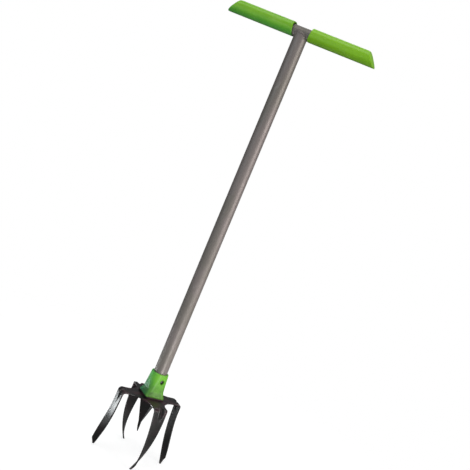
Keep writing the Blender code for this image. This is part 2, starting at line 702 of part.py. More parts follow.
def make_spike(steel, weld_metal, foot):
    """Four-sided spike under the hub: a broad pyramid that ends in a thin point."""
    top = ARM_UNDERSIDE - CLEARANCE
    steps = 6
    rings = []
    for k in range(steps + 1):
        share = k / steps
        diagonal = SPIKE_TOP_DIAGONAL + (SPIKE_NECK_DIAGONAL - SPIKE_TOP_DIAGONAL) * share
        rings.append(spike_ring(diagonal, SPIKE_NECK_DEPTH * share, 0))
    for k in range(1, 6):
        share = k / 5
        diagonal = SPIKE_NECK_DIAGONAL + (SPIKE_TIP_DIAGONAL - SPIKE_NECK_DIAGONAL) * share ** 1.6
        depth = SPIKE_NECK_DEPTH + (SPIKE_LENGTH - SPIKE_NECK_DEPTH) * share
        rings.append(spike_ring(diagonal, depth, SPIKE_TIP_LEAN * share ** 1.5))
    add_object("centre_spike", loft("centre_spike", rings), steel, foot, (0, 0, top))

    room = SPIKE_TOP_DIAGONAL + 2 * CLEARANCE * math.sqrt(2)
    leg = SPIKE_WELD_LEG * math.sqrt(2)
    outline = ((room, 0), (room + 2 * leg, 0), (room + 0.9 * leg, 0.5 * leg), (room, 0.8 * leg))
    rings = []
    for k in range(4):
        angle = math.pi / 2 * k + math.pi / 4
        rings.append([(d / 2 * math.cos(angle), d / 2 * math.sin(angle), -z) for d, z in outline])
    add_object("spike_weld", band("spike_weld", rings), weld_metal, foot, (0, 0, top))


def build():
    clear_scene()
    tube_paint = make_material("grey_tube_paint", (0.170, 0.145, 0.135), 0.42, 0.55)
    grip_plastic = make_material("lime_plastic", (0.155, 0.420, 0.030), 0.32, 0.0)
    head_paint = make_material("black_head_paint", (0.020, 0.020, 0.021), 0.45, 0.35)
    bare_steel = make_material("zinc_steel", (0.520, 0.520, 0.510), 0.35, 1.0)
    weld_metal = make_material("painted_weld", (0.060, 0.056, 0.054), 0.55, 0.4)

    black_steel = make_material("black_steel", (0.035, 0.035, 0.036), 0.40, 0.9)

    foot = add_object("foot_frame", None)
    handle = add_object("handle_frame", None, location=(0, 0, BAR_LEVEL))

    make_shaft(tube_paint, foot, handle)
    make_bar(tube_paint, handle)
    make_tee_weld(tube_paint, handle)
    make_grip("left_grip", -1, grip_plastic, handle)
    make_grip("right_grip", 1, grip_plastic, handle)
    make_ferrule(grip_plastic, foot)
    make_bolt(black_steel, foot)
    make_spigot(bare_steel, weld_metal, foot)
    make_hub_plate(head_paint, foot)
    make_tines(head_paint, foot)
    make_seam_welds(weld_metal, foot)
    make_spike(head_paint, weld_metal, foot)
    bpy.context.view_layer.update()


build()
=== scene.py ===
from math import copysign, cos, exp, hypot, pi, radians, sin, sqrt, tan, tau

import bmesh
import bpy
from mathutils import Matrix, Vector


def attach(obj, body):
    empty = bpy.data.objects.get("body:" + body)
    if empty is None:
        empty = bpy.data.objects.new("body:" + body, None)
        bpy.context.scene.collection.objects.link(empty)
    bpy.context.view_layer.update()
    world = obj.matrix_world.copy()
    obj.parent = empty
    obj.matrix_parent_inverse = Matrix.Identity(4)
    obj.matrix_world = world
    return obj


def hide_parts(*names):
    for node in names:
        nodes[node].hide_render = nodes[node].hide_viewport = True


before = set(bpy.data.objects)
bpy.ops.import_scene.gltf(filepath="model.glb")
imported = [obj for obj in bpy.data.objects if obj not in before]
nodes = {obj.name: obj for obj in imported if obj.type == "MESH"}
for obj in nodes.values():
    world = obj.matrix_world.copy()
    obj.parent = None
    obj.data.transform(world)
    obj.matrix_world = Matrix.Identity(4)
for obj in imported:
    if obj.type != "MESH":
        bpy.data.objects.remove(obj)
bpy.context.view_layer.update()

# All sizes are in metres. Those that the part has too keep the names and values they have there.

# Gaps
CLEARANCE = 0.0003  # between pieces that lie on each other
MITRE_GAP = 0.0004  # between the roots of two tines

# Heights above the tine tips
ARM_LEVEL = 0.1335  # middle of the flat arms
SHAFT_RISE = 0.8001  # from the arms to the axis of the cross bar

# Main tube, cross bar and their weld
SHAFT_DIAMETER = 0.0280
SHAFT_WALL = 0.0012
SHAFT_LIFT = 0.0075  # foot of the tube above the hub plate
BAR_DIAMETER = 0.0220
BAR_WALL = 0.0012
BAR_LENGTH = 0.2760
PIPE_EDGE = 0.0003  # broken edges at the ends of both
TEE_DROP = 0.0014  # top of the tube below the bar's axis
TEE_WELD_RADIUS = 0.0022
TEE_WELD_RIPPLE = 0.09
TEE_WELD_WAVES = 64
TEE_WELD_SOFTNESS = 0.35  # eases the bead's path at its highest points, as a share of BAR_SEAT

# Grips
GRIP_END_BOTTOM = 0.1605  # outer end from the tube's axis, at the underside
GRIP_END_TOP = 0.1408  # the same at the top
GRIP_INNER_BOTTOM = 0.0030  # inner end from the tube's side, at the underside
GRIP_INNER_TOP = 0.0068  # the same at the top
GRIP_PAD = 0.0043  # plastic above the bar
GRIP_FLOOR = 0.0025  # plastic below the bar
GRIP_CHEEK = 0.0055  # plastic in front of the bar and behind it
GRIP_TOP_RADIUS = 0.0110
GRIP_BOTTOM_RADIUS = 0.0125
GRIP_EDGE_RADIUS = 0.0012
GRIP_SHELL = 0.0022  # wall round the pocket at the inner end
GRIP_POCKET_DEPTH = 0.0160
POCKET_OVERSHOOT = 0.0050  # of the pocket's cutter, out of the inner end

# Ferrule
COLLAR_WALL = 0.0040
FERRULE_HEIGHT = 0.0505
FERRULE_BASE = 0.0425  # side of the square base
FERRULE_BASE_RADIUS = 0.0035
FERRULE_BASE_LIP = 0.0025  # height of the base's upright rim
FERRULE_ROUNDING_POWER = 0.8
FERRULE_FLARE_HEIGHT = 0.0160
FERRULE_WAIST = 0.0182  # half the width at that height
FERRULE_SHELL = 0.0030
FERRULE_GRIP = 0.0280  # length that holds the tube
FERRULE_TOP_EDGE = 0.0010
FERRULE_FOOT_EDGE = 0.0004
RECESS_LIFT = 0.0001  # mouth of the bolt's recess from the collar's face
RECESS_ROUNDING = 0.0006

# Bolt and nut
BOLT_DIAMETER = 0.0050
BOLT_HEAD_DIAMETER = 0.0086
BOLT_HEAD_HEIGHT = 0.0026
BOLT_HEAD_EDGE = 0.0001
BOLT_HEAD_FLAT = 0.45  # share of the head's radius inside its dome
BOLT_HEAD_RIM = 0.25  # share of the head's height below its dome
BOLT_KEY = 0.0030  # key recess, across its flats
BOLT_KEY_DEPTH = 0.0016
BOLT_KEY_DRAFT = 0.00002  # corner of the key's cutter further out at its top
BOLT_TAIL = 0.0005  # thread past the nut
BOLT_TAIL_CONE = 0.3  # length of the cone at the end, in bolt radii
BOLT_TAIL_END = 0.86  # radius of the very end, in bolt radii
BOLT_BELOW_TOP = 0.0155  # under the ferrule's top
BOLT_AZIMUTH = radians(-33)
NUT_ACROSS = 0.0080
NUT_HEIGHT = 0.0028

# Hub plate
HUB_PLATE_SIDE = 0.0440
HUB_PLATE_THICKNESS = 0.0030
HUB_PLATE_RADIUS = 0.0040
HUB_PLATE_EDGE = 0.0004

# Tines. The guide edge is the long edge that the blade's sweep and lean are measured on.
TINE_THICKNESS = 0.0030
TINE_ARM_WIDTH = 0.0325
TINE_WEB_RADIUS = 0.0360  # hollow corner between two arms
TINE_ROOT_START = 0.0060  # point of the root from the axis
TINE_REACH = 0.0672  # blade from the axis, under the bend
TINE_BEND_RADIUS = 0.0060
TINE_TOP_WIDTH = 0.0283
TINE_LOW_WIDTH = 0.0103
TINE_LEAN = 0.0038  # the guide edge moves out by this, from bend to tip
TINE_LEAN_POWER = 0.65
TINE_SWEEP = 0.0316  # and sideways by this
TINE_SWEEP_POWER = 2.45
TINE_TWIST = radians(83)
TINE_TWIST_POWER = 2.17
TINE_TIP_CUT = 0.0137  # height of the slanting cut at the tip
TINE_TIP_WIDTH = 0.0038
TINE_EDGE_RADIUS = 0.0007
TINE_EDGE_LIMIT = 0.3  # share of the width that one rounded edge may take
ROOT_EDGE_RADIUS = 0.0001
ROOT_EDGE_GROWTH = 0.0060  # length over which that grows to the tine's edge radius

# Dart pressed into a tine's bend. Its section is in half widths from the dart's middle.
DART_WIDTH = 0.0135
DART_OFFSET = 0.0038  # from the arm's middle line
DART_ARM_LENGTH = 0.0200
DART_BLADE_LENGTH = 0.0300
DART_TAPER_POWER = 0.7
DART_LEAST_HALF = DART_WIDTH / 12
DART_FLOOR_ROUNDING = 0.08
DART_SIDE_ROUNDING = 0.07
DART_LIP_HEIGHT = 0.075
DART_LIP_PLACE = 1.14
DART_LIP_WIDTH = 0.15
DART_REACH = 1.45  # where the lips have died out
PLAIN_HALF = 0.22  # the dart's columns spread to this share of a plain tine's width

# Seam welds under the mitres
SEAM_WELD_RADIUS = 0.0016
SEAM_WELD_INSET = 0.0030  # from the hollow corner between two arms
SEAM_WELD_SPREAD = 1.3  # half the bead's width, in bead radii
SEAM_WELD_END = 0.45  # size at both ends
SEAM_WELD_SWELL = 0.25  # share of the length over which the bead grows to its full size
SEAM_WELD_RIPPLE = 0.10
SEAM_WELD_WAVES = 15

# Centre spike and its weld
SPIKE_TOP_DIAGONAL = 0.0440
SPIKE_NECK_DIAGONAL = 0.0072
SPIKE_NECK_DEPTH = 0.0570
SPIKE_LENGTH = 0.0775
SPIKE_TIP_DIAGONAL = 0.0022
SPIKE_TIP_POWER = 1.6
SPIKE_TIP_LEAN = 0.0025
SPIKE_TIP_LEAN_POWER = 1.5
SPIKE_HOLLOW = 0.05  # share by which the faces sink in between the ridges
SPIKE_BUNCHING = 0.12
SPIKE_WELD_LEG = 0.0022
SPIKE_WELD_REACH = 1.9  # of the bead's hollow face, in legs along the diagonal
SPIKE_WELD_REACH_HOLLOW = 0.98
SPIKE_WELD_HEIGHT = 0.8
SPIKE_WELD_HEIGHT_HOLLOW = 0.9
SPIKE_WELD_RIPPLE = 0.05
SPIKE_WELD_WAVES = 10  # on each side

# Sizes that follow from those above
SHAFT_RADIUS = SHAFT_DIAMETER / 2
BORE_RADIUS = SHAFT_RADIUS + CLEARANCE
COLLAR_RADIUS = SHAFT_RADIUS + COLLAR_WALL
BAR_RADIUS = BAR_DIAMETER / 2
BAR_SEAT = BAR_RADIUS + CLEARANCE
BAR_LEVEL = ARM_LEVEL + SHAFT_RISE
GRIP_LOW = -BAR_RADIUS - GRIP_FLOOR
GRIP_HIGH = BAR_RADIUS + GRIP_PAD
GRIP_HALF_DEPTH = BAR_RADIUS + GRIP_CHEEK
GRIP_START_BOTTOM = SHAFT_RADIUS + GRIP_INNER_BOTTOM
GRIP_START_TOP = SHAFT_RADIUS + GRIP_INNER_TOP
ARM_UNDERSIDE = ARM_LEVEL - TINE_THICKNESS / 2
BEAD_LEVEL = ARM_UNDERSIDE - CLEARANCE
PLATE_BASE = ARM_LEVEL + TINE_THICKNESS / 2 + CLEARANCE
PLATE_TOP = PLATE_BASE + HUB_PLATE_THICKNESS
SHAFT_FOOT = PLATE_TOP + SHAFT_LIFT
FERRULE_FOOT = PLATE_TOP + CLEARANCE
FERRULE_TOP = FERRULE_FOOT + FERRULE_HEIGHT
BOLT_RADIUS = BOLT_DIAMETER / 2
BOLT_HEAD_RADIUS = BOLT_HEAD_DIAMETER / 2
BOLT_SEAT = SHAFT_RADIUS + CLEARANCE
BOLT_LEVEL = FERRULE_TOP - BOLT_BELOW_TOP
WEB_HOLLOW = TINE_ARM_WIDTH / 2 + TINE_WEB_RADIUS
WEB_CORNER = WEB_HOLLOW - TINE_WEB_RADIUS / sqrt(2)
BEND_START = TINE_REACH - TINE_BEND_RADIUS
BEND_ARC = TINE_BEND_RADIUS * pi / 2
SPIKE_WELD_ROOM = SPIKE_TOP_DIAGONAL + 2 * CLEARANCE * sqrt(2)
CUTTER_LENGTH = 4 * SHAFT_RADIUS

# Directions of the tines and of the welds between them, in degrees
TINES = {"tine_rear_right": 45, "tine_rear_left": 135, "tine_front_left": 225, "tine_front_right": 315}
SEAMS = {"seam_weld_right": 0, "seam_weld_rear": 90, "seam_weld_left": 180, "seam_weld_front": 270}

# How finely the curves are divided
ROUND_STEPS = 128
RECESS_STEPS = 96
BOLT_STEPS = 64
HEXAGON = 6
DOME_STEPS = 12
CORNER_STEPS = 14
GRIP_EDGE_STEPS = 8
EDGE_STEPS = 5
SMALL_EDGE_STEPS = 4
FERRULE_SIDE_STEPS = 40
FERRULE_BUNCHING = 1.5
FERRULE_LEVELS = 44
HOLLOW_LEVELS = 12
ROOT_STEPS = 4
ARM_STEPS = 26
BEND_STEPS = 14
BLADE_STEPS = 90
BLADE_BUNCHING = 1.2
TIP_STEPS = 14
FLAT_COLUMNS = 5
DART_COLUMNS = 13
TEE_WELD_STEPS = 320
TEE_BEAD_STEPS = 24
SEAM_WELD_STEPS = 90
SEAM_BEAD_STEPS = 16
SPIKE_WELD_STEPS = 40
SPIKE_BEAD_STEPS = 6
SPIKE_SIDE_STEPS = 14
SPIKE_NECK_STEPS = 30
SPIKE_TIP_STEPS = 20
SHARP_ANGLE = radians(40)
CUT_SHARP_ANGLE = radians(38)
SPIKE_SHARP_ANGLE = radians(50)


# Meshes

def between(start, end, share):
    return start + (end - start) * share


def evenly(start, end, steps):
    """Values from start to end, both among them."""
    return [start + (end - start) * k / steps for k in range(steps + 1)]


def quarter_turn(steps):
    return evenly(0, pi / 2, steps)


def full_turn(steps):
    return evenly(0, tau, steps)[:-1]


def ripple(waves, share, depth):
    """Size of a weld bead, which sinks from 1 by depth in each wave."""
    return 1 - depth * (1 - cos(tau * waves * share)) / 2


def loft(name, rings, closed=False, sharp=SHARP_ANGLE):
    """Skin over rings of points, capped at both ends or closed on its first ring."""
    geometry = bmesh.new()
    rows = [[geometry.verts.new(point) for point in ring] for ring in rings]
    count = len(rows[0])
    pairs = list(zip(rows, rows[1:]))
    if closed:
        pairs.append((rows[-1], rows[0]))
    for lower, upper in pairs:
        for i in range(count):
            j = (i + 1) % count
            geometry.faces.new((lower[i], lower[j], upper[j], upper[i]))
    if not closed:
        geometry.faces.new(rows[0])
        geometry.faces.new(rows[-1])
    bmesh.ops.recalc_face_normals(geometry, faces=geometry.faces)
    mesh = bpy.data.meshes.new(name)
    geometry.to_mesh(mesh)
    geometry.free()
    mesh.shade_smooth()
    mesh.set_sharp_from_angle(angle=sharp)
    return mesh


def circle(radius, z, steps=ROUND_STEPS):
    return [(radius * cos(a), radius * sin(a), z) for a in full_turn(steps)]


def hexagon_corner(half_across):
    return half_across / cos(pi / 6)


def stacked(name, profile, steps=ROUND_STEPS):
    """Solid through circles, each given by its radius and height."""
    return loft(name, [circle(radius, z, steps) for radius, z in profile])


def rod(name, radius, length, steps=ROUND_STEPS):
    return stacked(name, [(radius, -length / 2), (radius, length / 2)], steps)


def pipe(name, radius, wall, length):
    inner = radius - wall
    start = [(inner, PIPE_EDGE), (inner + PIPE_EDGE, 0), (radius - PIPE_EDGE, 0), (radius, PIPE_EDGE)]
    profile = start + [(r, length - z) for r, z in reversed(start)]
    rings = [[(r * cos(a), r * sin(a), z) for r, z in profile] for a in full_turn(ROUND_STEPS)]
    return loft(name, rings, True)


def rounded_box(half_width, low, high, low_radius, high_radius):
    """Outline that is level at low and high, with rounded corners."""
    corners = (
        (half_width, low, low_radius, -90),
        (half_width, high, high_radius, 0),
        (-half_width, high, high_radius, 90),
        (-half_width, low, low_radius, 180),
    )
    outline = []
    for across, up, radius, start in corners:
        x = across - copysign(radius, across)
        y = up - radius if up == high else up + radius
        for degrees in evenly(start, start + 90, CORNER_STEPS):
            a = radians(degrees)
            outline.append((x + radius * cos(a), y + radius * sin(a)))
    return outline


def settle(mesh, level, turn=0.0, tip=0.0, start=0.0):
    """Tips a mesh towards X, turns it about Z and moves it, so that textures follow the part's axes."""
    rotation = Matrix.Rotation(turn, 4, "Z") @ Matrix.Rotation(tip, 4, "Y")
    mesh.transform(Matrix.Translation(Vector((start, 0, level))) @ rotation)
    return mesh


def along_bar(mesh, start=0.0):
    return settle(mesh, BAR_LEVEL, 0.0, pi / 2, start)


def along_bolt(mesh):
    return settle(mesh, BOLT_LEVEL, BOLT_AZIMUTH, pi / 2)


def place(mesh, material=None):
    item = bpy.data.objects.new(mesh.name, mesh)
    bpy.context.collection.objects.link(item)
    if material:
        mesh.materials.append(material)
    return item


def cut(item, *cutters):
    """Takes the cutters out of a piece, and removes them."""
    for cutter in cutters:
        modifier = item.modifiers.new("cut", "BOOLEAN")
        modifier.object = cutter
        modifier.solver = "EXACT"
    bpy.context.view_layer.update()
    shape = item.evaluated_get(bpy.context.evaluated_depsgraph_get())
    mesh = bpy.data.meshes.new_from_object(shape)
    item.modifiers.clear()
    item.data = mesh
    mesh.shade_smooth()
    mesh.set_sharp_from_angle(angle=CUT_SHARP_ANGLE)
    for cutter in cutters:
        bpy.data.objects.remove(cutter)


def dress(item, node):
    """The piece rides on the part's one body and stands for the node named."""
    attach(item, "root")
    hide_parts(node)


def repeat(shape, directions, level, material):
    """Sets copies of a shape round the axis, one for each node."""
    for name, azimuth in directions.items():
        mesh = shape.copy()
        mesh.name = "fine_" + name
        settle(mesh, level, radians(azimuth))
        dress(place(mesh, material), name)
    bpy.data.meshes.remove(shape)


# Materials

# Sockets of the Mix node that carry colours
FIRST_COLOUR, SECOND_COLOUR, MIXED_COLOUR = 6, 7, 2

# Most of a noise's values lie in this range
NOISE_RANGE = (0.3, 0.7)

# Colours, those of a cloudy ground in pairs
TUBE_GREYS = (0.208, 0.177, 0.169), (0.268, 0.229, 0.220)
TUBE_OLIVE = (0.188, 0.172, 0.148)
TUBE_LIGHT_SPECKS = (0.350, 0.315, 0.300)
TUBE_DARK_SPECKS = (0.130, 0.112, 0.106)
TUBE_BAR_TOP_DARK = (0.120, 0.116, 0.098)
TUBE_SCUFFS = (0.300, 0.275, 0.260)
LIMES = (0.112, 0.392, 0.009), (0.216, 0.530, 0.013)
LIME_PAINTED_LIGHT = (0.262, 0.580, 0.012)
LIME_PAINTED_SHADE = (0.062, 0.480, 0.072)
LIME_FERRULE = (0.030, 0.330, 0.090)
LIME_PAINTED_FLANK_SHADE = (0.020, 0.270, 0.130)
LIME_FLOW = (0.230, 0.535, 0.025)
LIME_SCUFFS = (0.300, 0.570, 0.110)
LIME_HOLLOW_SHADE = (0.030, 0.110, 0.010)
LIME_SOIL_AND_SHADE = (0.040, 0.105, 0.022)
BLACKS = (0.006, 0.006, 0.0062), (0.0115, 0.011, 0.0112)
BLACK_PAINTED_REFLECTION = (0.044, 0.016, 0.022)
BARE_STEEL_AND_HIGHLIGHT = (0.160, 0.152, 0.145)
DARK_STEELS = (0.050, 0.050, 0.050), (0.100, 0.098, 0.095)
PLATED_STEELS = (0.40, 0.40, 0.39), (0.58, 0.57, 0.54)
WELD_METALS = (0.020, 0.019, 0.019), (0.050, 0.045, 0.042)

# Places between which a finish changes, as heights
BAR_TOP_DARKENING = (0.9290, 0.9370)
PAINTED_LIGHT_HEIGHTS = (0.922, 0.940)
PAINTED_SHADE_HEIGHTS = (0.938, 0.920)
DOWN_TO_FERRULE = (0.30, 0.20)
PAINTED_FLANK_SHADE_HEIGHTS = (0.185, 0.148)
SOIL_AND_SHADE_HEIGHTS = (0.188, 0.136)
PAINTED_REFLECTION_HEIGHTS = (0.118, 0.128)

# The same along X, and as distances from the tube's axis
PAINTED_LIGHT_SIDE = (-0.02, 0.03)
PAINTED_SHADE_SIDE = (0.01, -0.02)
PAINTED_FLANK_SHADE_SIDE = (0.004, -0.018)
OUT_TO_BENDS = (0.052, 0.060)


def add_node(tree, kind, values=(), links=(), **settings):
    node = tree.nodes.new("ShaderNode" + kind)
    for key, value in settings.items():
        setattr(node, key, value)
    for key, value in values:
        node.inputs[key].default_value = value
    for key, source in links:
        tree.links.new(source, node.inputs[key])
    return node


def map_range(tree, source, limits, start, end, smooth):
    values = [("From Min", limits[0]), ("From Max", limits[1]), ("To Min", start), ("To Max", end)]
    kind = "SMOOTHSTEP" if smooth else "LINEAR"
    node = add_node(tree, "MapRange", values, [("Value", source)], interpolation_type=kind)
    return node.outputs["Result"]


class Shade:
    """A Principled material and the texture nodes that feed it."""

    def __init__(self, name, metallic=0.0, specular=0.5):
        self.material = bpy.data.materials.new(name)
        self.material.use_nodes = True
        self.tree = self.material.node_tree
        self.shader = self.tree.nodes["Principled BSDF"]
        self.shader.inputs["Metallic"].default_value = metallic
        self.shader.inputs["Specular IOR Level"].default_value = specular
        self.where = self.add("TexCoord").outputs["Object"]

    def add(self, kind, values=(), links=(), **settings):
        return add_node(self.tree, kind, values, links, **settings)

    def fill(self, socket, value):
        """Sets a socket to a number or a colour, or links a node's output to it."""
        if isinstance(value, tuple):
            socket.default_value = (*value, 1)
        elif isinstance(value, float):
            socket.default_value = value
        else:
            self.tree.links.new(value, socket)

    def finish(self, colour, roughness, normal):
        self.fill(self.shader.inputs["Base Color"], colour)
        self.fill(self.shader.inputs["Roughness"], roughness)
        self.fill(self.shader.inputs["Normal"], normal)
        return self.material

    def stretched(self, x, y, z):
        mapping = self.add("Mapping", [("Scale", (x, y, z))], [("Vector", self.where)])
        return mapping.outputs["Vector"]

    def noise(self, scale, detail=3.0, roughness=0.55, where=None):
        """Noise with about as many patches to a metre as its scale says."""
        values = [("Scale", scale), ("Detail", detail), ("Roughness", roughness)]
        node = self.add("TexNoise", values, [("Vector", where or self.where)])
        return node.outputs["Fac"]

    def spread(self, source, limits=NOISE_RANGE, start=0.0, end=1.0, smooth=False):
        """Turns the values between two limits into start to end."""
        return map_range(self.tree, source, limits, start, end, smooth)

    def along(self, axis, limits, start=0.0, end=1.0, smooth=True):
        """Runs from start to end between two places along an axis of the part."""
        split = self.add("SeparateXYZ", [], [("Vector", self.where)])
        return self.spread(split.outputs[axis], limits, start, end, smooth)

    def outward(self, limits):
        """Runs from 0 to 1 between two distances from the tube's axis."""
        flat = [("Vector", self.stretched(1, 1, 0))]
        length = self.add("VectorMath", [], flat, operation="LENGTH")
        return self.spread(length.outputs["Value"], limits, smooth=True)

    def edges(self, limits, end=1.0):
        """Finds outer edges or, where the limits fall, hollows."""
        pointed = self.add("NewGeometry").outputs["Pointiness"]
        return self.spread(pointed, limits, 0.0, end, True)

    def combine(self, first, second, operation="MULTIPLY"):
        node = self.add("Math", operation=operation)
        self.fill(node.inputs[0], first)
        self.fill(node.inputs[1], second)
        return node.outputs["Value"]

    def mix(self, share, first, second):
        node = self.add("Mix", data_type="RGBA")
        self.fill(node.inputs["Factor"], share)
        self.fill(node.inputs[FIRST_COLOUR], first)
        self.fill(node.inputs[SECOND_COLOUR], second)
        return node.outputs[MIXED_COLOUR]

    def cloudy(self, source, colours):
        return self.mix(self.spread(source), *colours)

    def layer(self, below, colour, source, limits, end, smooth=True):
        """Lays a colour over another, up to the share named by end."""
        return self.mix(self.spread(source, limits, 0.0, end, smooth), below, colour)

    def bump(self, height, distance, strength, below=None):
        links = [("Height", height)]
        if below:
            links.append(("Normal", below))
        node = self.add("Bump", [("Distance", distance), ("Strength", strength)], links)
        return node.outputs["Normal"]


def tube_paint():
    """Powder coat with fine specks and faint scuffs, darker on top of the bar."""
    shade = Shade("scene_tube_paint", metallic=0.35)
    colour = shade.cloudy(shade.noise(14.0, 4.0, 0.6, shade.stretched(1, 1, 0.12)), TUBE_GREYS)
    olive = shade.noise(21.0, 3.0, 0.5, shade.stretched(1, 1, 0.5))
    colour = shade.layer(colour, TUBE_OLIVE, olive, (0.45, 0.60), 0.75)
    specks = shade.noise(1500.0, 2.0)
    colour = shade.layer(colour, TUBE_LIGHT_SPECKS, specks, (0.52, 0.70), 0.45, False)
    colour = shade.layer(colour, TUBE_DARK_SPECKS, specks, (0.48, 0.30), 0.45, False)
    # Darker towards the top of the bar, which takes in the tube's top end and its weld.
    colour = shade.mix(shade.along("Z", BAR_TOP_DARKENING, 0.0, 0.60), colour, TUBE_BAR_TOP_DARK)
    scuffs = shade.noise(95.0, 5.0, 0.7, shade.stretched(1, 1, 0.35))
    colour = shade.layer(colour, TUBE_SCUFFS, scuffs, (0.60, 0.68), 0.5)
    roughness = shade.spread(shade.noise(38.0, 4.0), start=0.40, end=0.52)
    waves = shade.bump(shade.noise(22.0, 2.0), 0.00025, 0.5)
    return shade.finish(colour, roughness, shade.bump(specks, 0.00004, 0.7, waves))


def lime_plastic():
    """Moulded plastic with painted light on the grips' tops and right side, painted shade below, to the left
    and in hollows, a darker teal painted shade on the ferrule's left side, scuffs, and earth with painted
    shade towards the ferrule's foot.
    """
    shade = Shade("scene_lime_plastic", specular=0.38)
    colour = shade.cloudy(shade.noise(26.0, 4.0), LIMES)
    # Painted light: the grips' tops and the parts' right side are lighter and yellower, as if lit more.
    painted_light = shade.combine(shade.along("Z", PAINTED_LIGHT_HEIGHTS, 0.0, 0.35), shade.along("X", PAINTED_LIGHT_SIDE, 0.0, 0.50), "ADD")
    colour = shade.mix(painted_light, colour, LIME_PAINTED_LIGHT)
    # Painted shade: below the grips' tops, and towards the left, the green grows darker and bluer.
    painted_shade = shade.combine(shade.along("Z", PAINTED_SHADE_HEIGHTS), shade.along("X", PAINTED_SHADE_SIDE, 0.0, 0.65))
    colour = shade.mix(painted_shade, colour, LIME_PAINTED_SHADE)
    on_ferrule = shade.along("Z", DOWN_TO_FERRULE, smooth=False)
    colour = shade.mix(shade.combine(on_ferrule, 0.28), colour, LIME_FERRULE)
    # Painted shade with a cyan reflection: the ferrule's left side turns darker and teal, most towards its
    # foot.
    painted_flank_shade = shade.combine(shade.along("Z", PAINTED_FLANK_SHADE_HEIGHTS, 0.15, 1.0), shade.along("X", PAINTED_FLANK_SHADE_SIDE, 0.0, 0.9))
    colour = shade.mix(shade.combine(painted_flank_shade, on_ferrule), colour, LIME_PAINTED_FLANK_SHADE)
    flow = shade.noise(60.0, 3.0, 0.6, shade.stretched(0.25, 1, 1))
    colour = shade.layer(colour, LIME_FLOW, flow, (0.55, 0.80), 0.30, False)
    scuffs = shade.noise(130.0, 6.0, 0.72, shade.stretched(0.22, 1, 1))
    colour = shade.layer(colour, LIME_SCUFFS, scuffs, (0.55, 0.64), 0.45)
    # Painted shade: hollows, found by the mesh's pointiness, are darkened.
    colour = shade.mix(shade.edges((0.49, 0.44), 0.55), colour, LIME_HOLLOW_SHADE)
    # Earth and painted shade: towards the ferrule's foot the plastic darkens in patches, and is rougher
    # there.
    patches = shade.spread(shade.noise(90.0, 4.0, 0.6), (0.30, 0.65), 0.35, 1.0)
    soil_and_shade = shade.combine(shade.along("Z", SOIL_AND_SHADE_HEIGHTS, 0.0, 0.85), patches)
    colour = shade.mix(soil_and_shade, colour, LIME_SOIL_AND_SHADE)
    smooth = shade.spread(shade.noise(70.0, 4.0), start=0.24, end=0.36)
    roughness = shade.combine(smooth, shade.combine(soil_and_shade, 0.3), "ADD")
    sinks = shade.bump(shade.noise(40.0, 1.0), 0.0004, 0.35)
    return shade.finish(colour, roughness, shade.bump(shade.noise(1300.0, 2.0), 0.00003, 0.6, sinks))


def head_paint():
    """Black paint with a painted purplish reflection in patches, mostly on the arms, and outer edges
    lightened to bare steel, as wear and as painted highlights.
    """
    shade = Shade("scene_head_paint", metallic=0.1, specular=0.35)
    colour = shade.cloudy(shade.noise(30.0, 5.0, 0.6), BLACKS)
    # Painted reflection: purplish patches, strong on the arms and faint down the blades.
    patches = shade.spread(shade.noise(38.0, 4.0, 0.6), (0.42, 0.58), smooth=True)
    painted_reflection = shade.combine(patches, shade.along("Z", PAINTED_REFLECTION_HEIGHTS, 0.15, 0.9))
    colour = shade.mix(painted_reflection, colour, BLACK_PAINTED_REFLECTION)
    # Wear and painted highlights: sharp edges from about the bends outward turn to bare steel, which also
    # stands in for highlights on edges and dart lips.
    chips = shade.spread(shade.noise(160.0, 3.0, 0.6), (0.35, 0.60), 0.35, 1.0, True)
    worn_and_highlit = shade.combine(shade.combine(shade.edges((0.510, 0.550)), chips), shade.outward(OUT_TO_BENDS))
    colour = shade.mix(shade.combine(worn_and_highlit, 0.6), colour, BARE_STEEL_AND_HIGHLIGHT)
    roughness = shade.spread(shade.noise(85.0, 5.0, 0.65), start=0.30, end=0.44)
    peel = shade.bump(shade.noise(520.0, 3.0), 0.00005, 0.5)
    return shade.finish(colour, roughness, shade.bump(shade.noise(48.0, 3.0), 0.0002, 0.35, peel))


def dark_steel():
    shade = Shade("scene_dark_steel", metallic=1.0)
    colour = shade.cloudy(shade.noise(300.0, 4.0), DARK_STEELS)
    roughness = shade.spread(shade.noise(700.0, 3.0), start=0.30, end=0.48)
    return shade.finish(colour, roughness, shade.bump(shade.noise(1500.0, 2.0), 0.00004, 0.6))


def plated_steel():
    shade = Shade("scene_plated_steel", metallic=1.0)
    colour = shade.cloudy(shade.noise(60.0, 5.0, 0.6), PLATED_STEELS)
    drawn = shade.noise(500.0, 3.0, 0.6, shade.stretched(1, 1, 0.05))
    return shade.finish(colour, shade.spread(drawn, start=0.28, end=0.46), shade.bump(drawn, 0.00004, 0.6))


def weld_bead():
    shade = Shade("scene_weld_bead", metallic=0.3)
    colour = shade.cloudy(shade.noise(240.0, 5.0, 0.65), WELD_METALS)
    roughness = shade.spread(shade.noise(500.0, 4.0), start=0.42, end=0.62)
    return shade.finish(colour, roughness, shade.bump(shade.noise(700.0, 4.0, 0.65), 0.00025, 0.7))


# Tube, bar and their weld

def make_shaft(material):
    """Main tube, coped round the bar and drilled for the ferrule's bolt."""
    mesh = pipe("fine_shaft_tube", SHAFT_RADIUS, SHAFT_WALL, BAR_LEVEL - TEE_DROP - SHAFT_FOOT)
    shaft = place(settle(mesh, SHAFT_FOOT), material)
    cope = place(along_bar(rod("cope", BAR_SEAT, CUTTER_LENGTH)))
    drill = place(along_bolt(rod("drill", BOLT_RADIUS + CLEARANCE, 4 * COLLAR_RADIUS, BOLT_STEPS)))
    cut(shaft, cope, drill)
    dress(shaft, "shaft_tube")


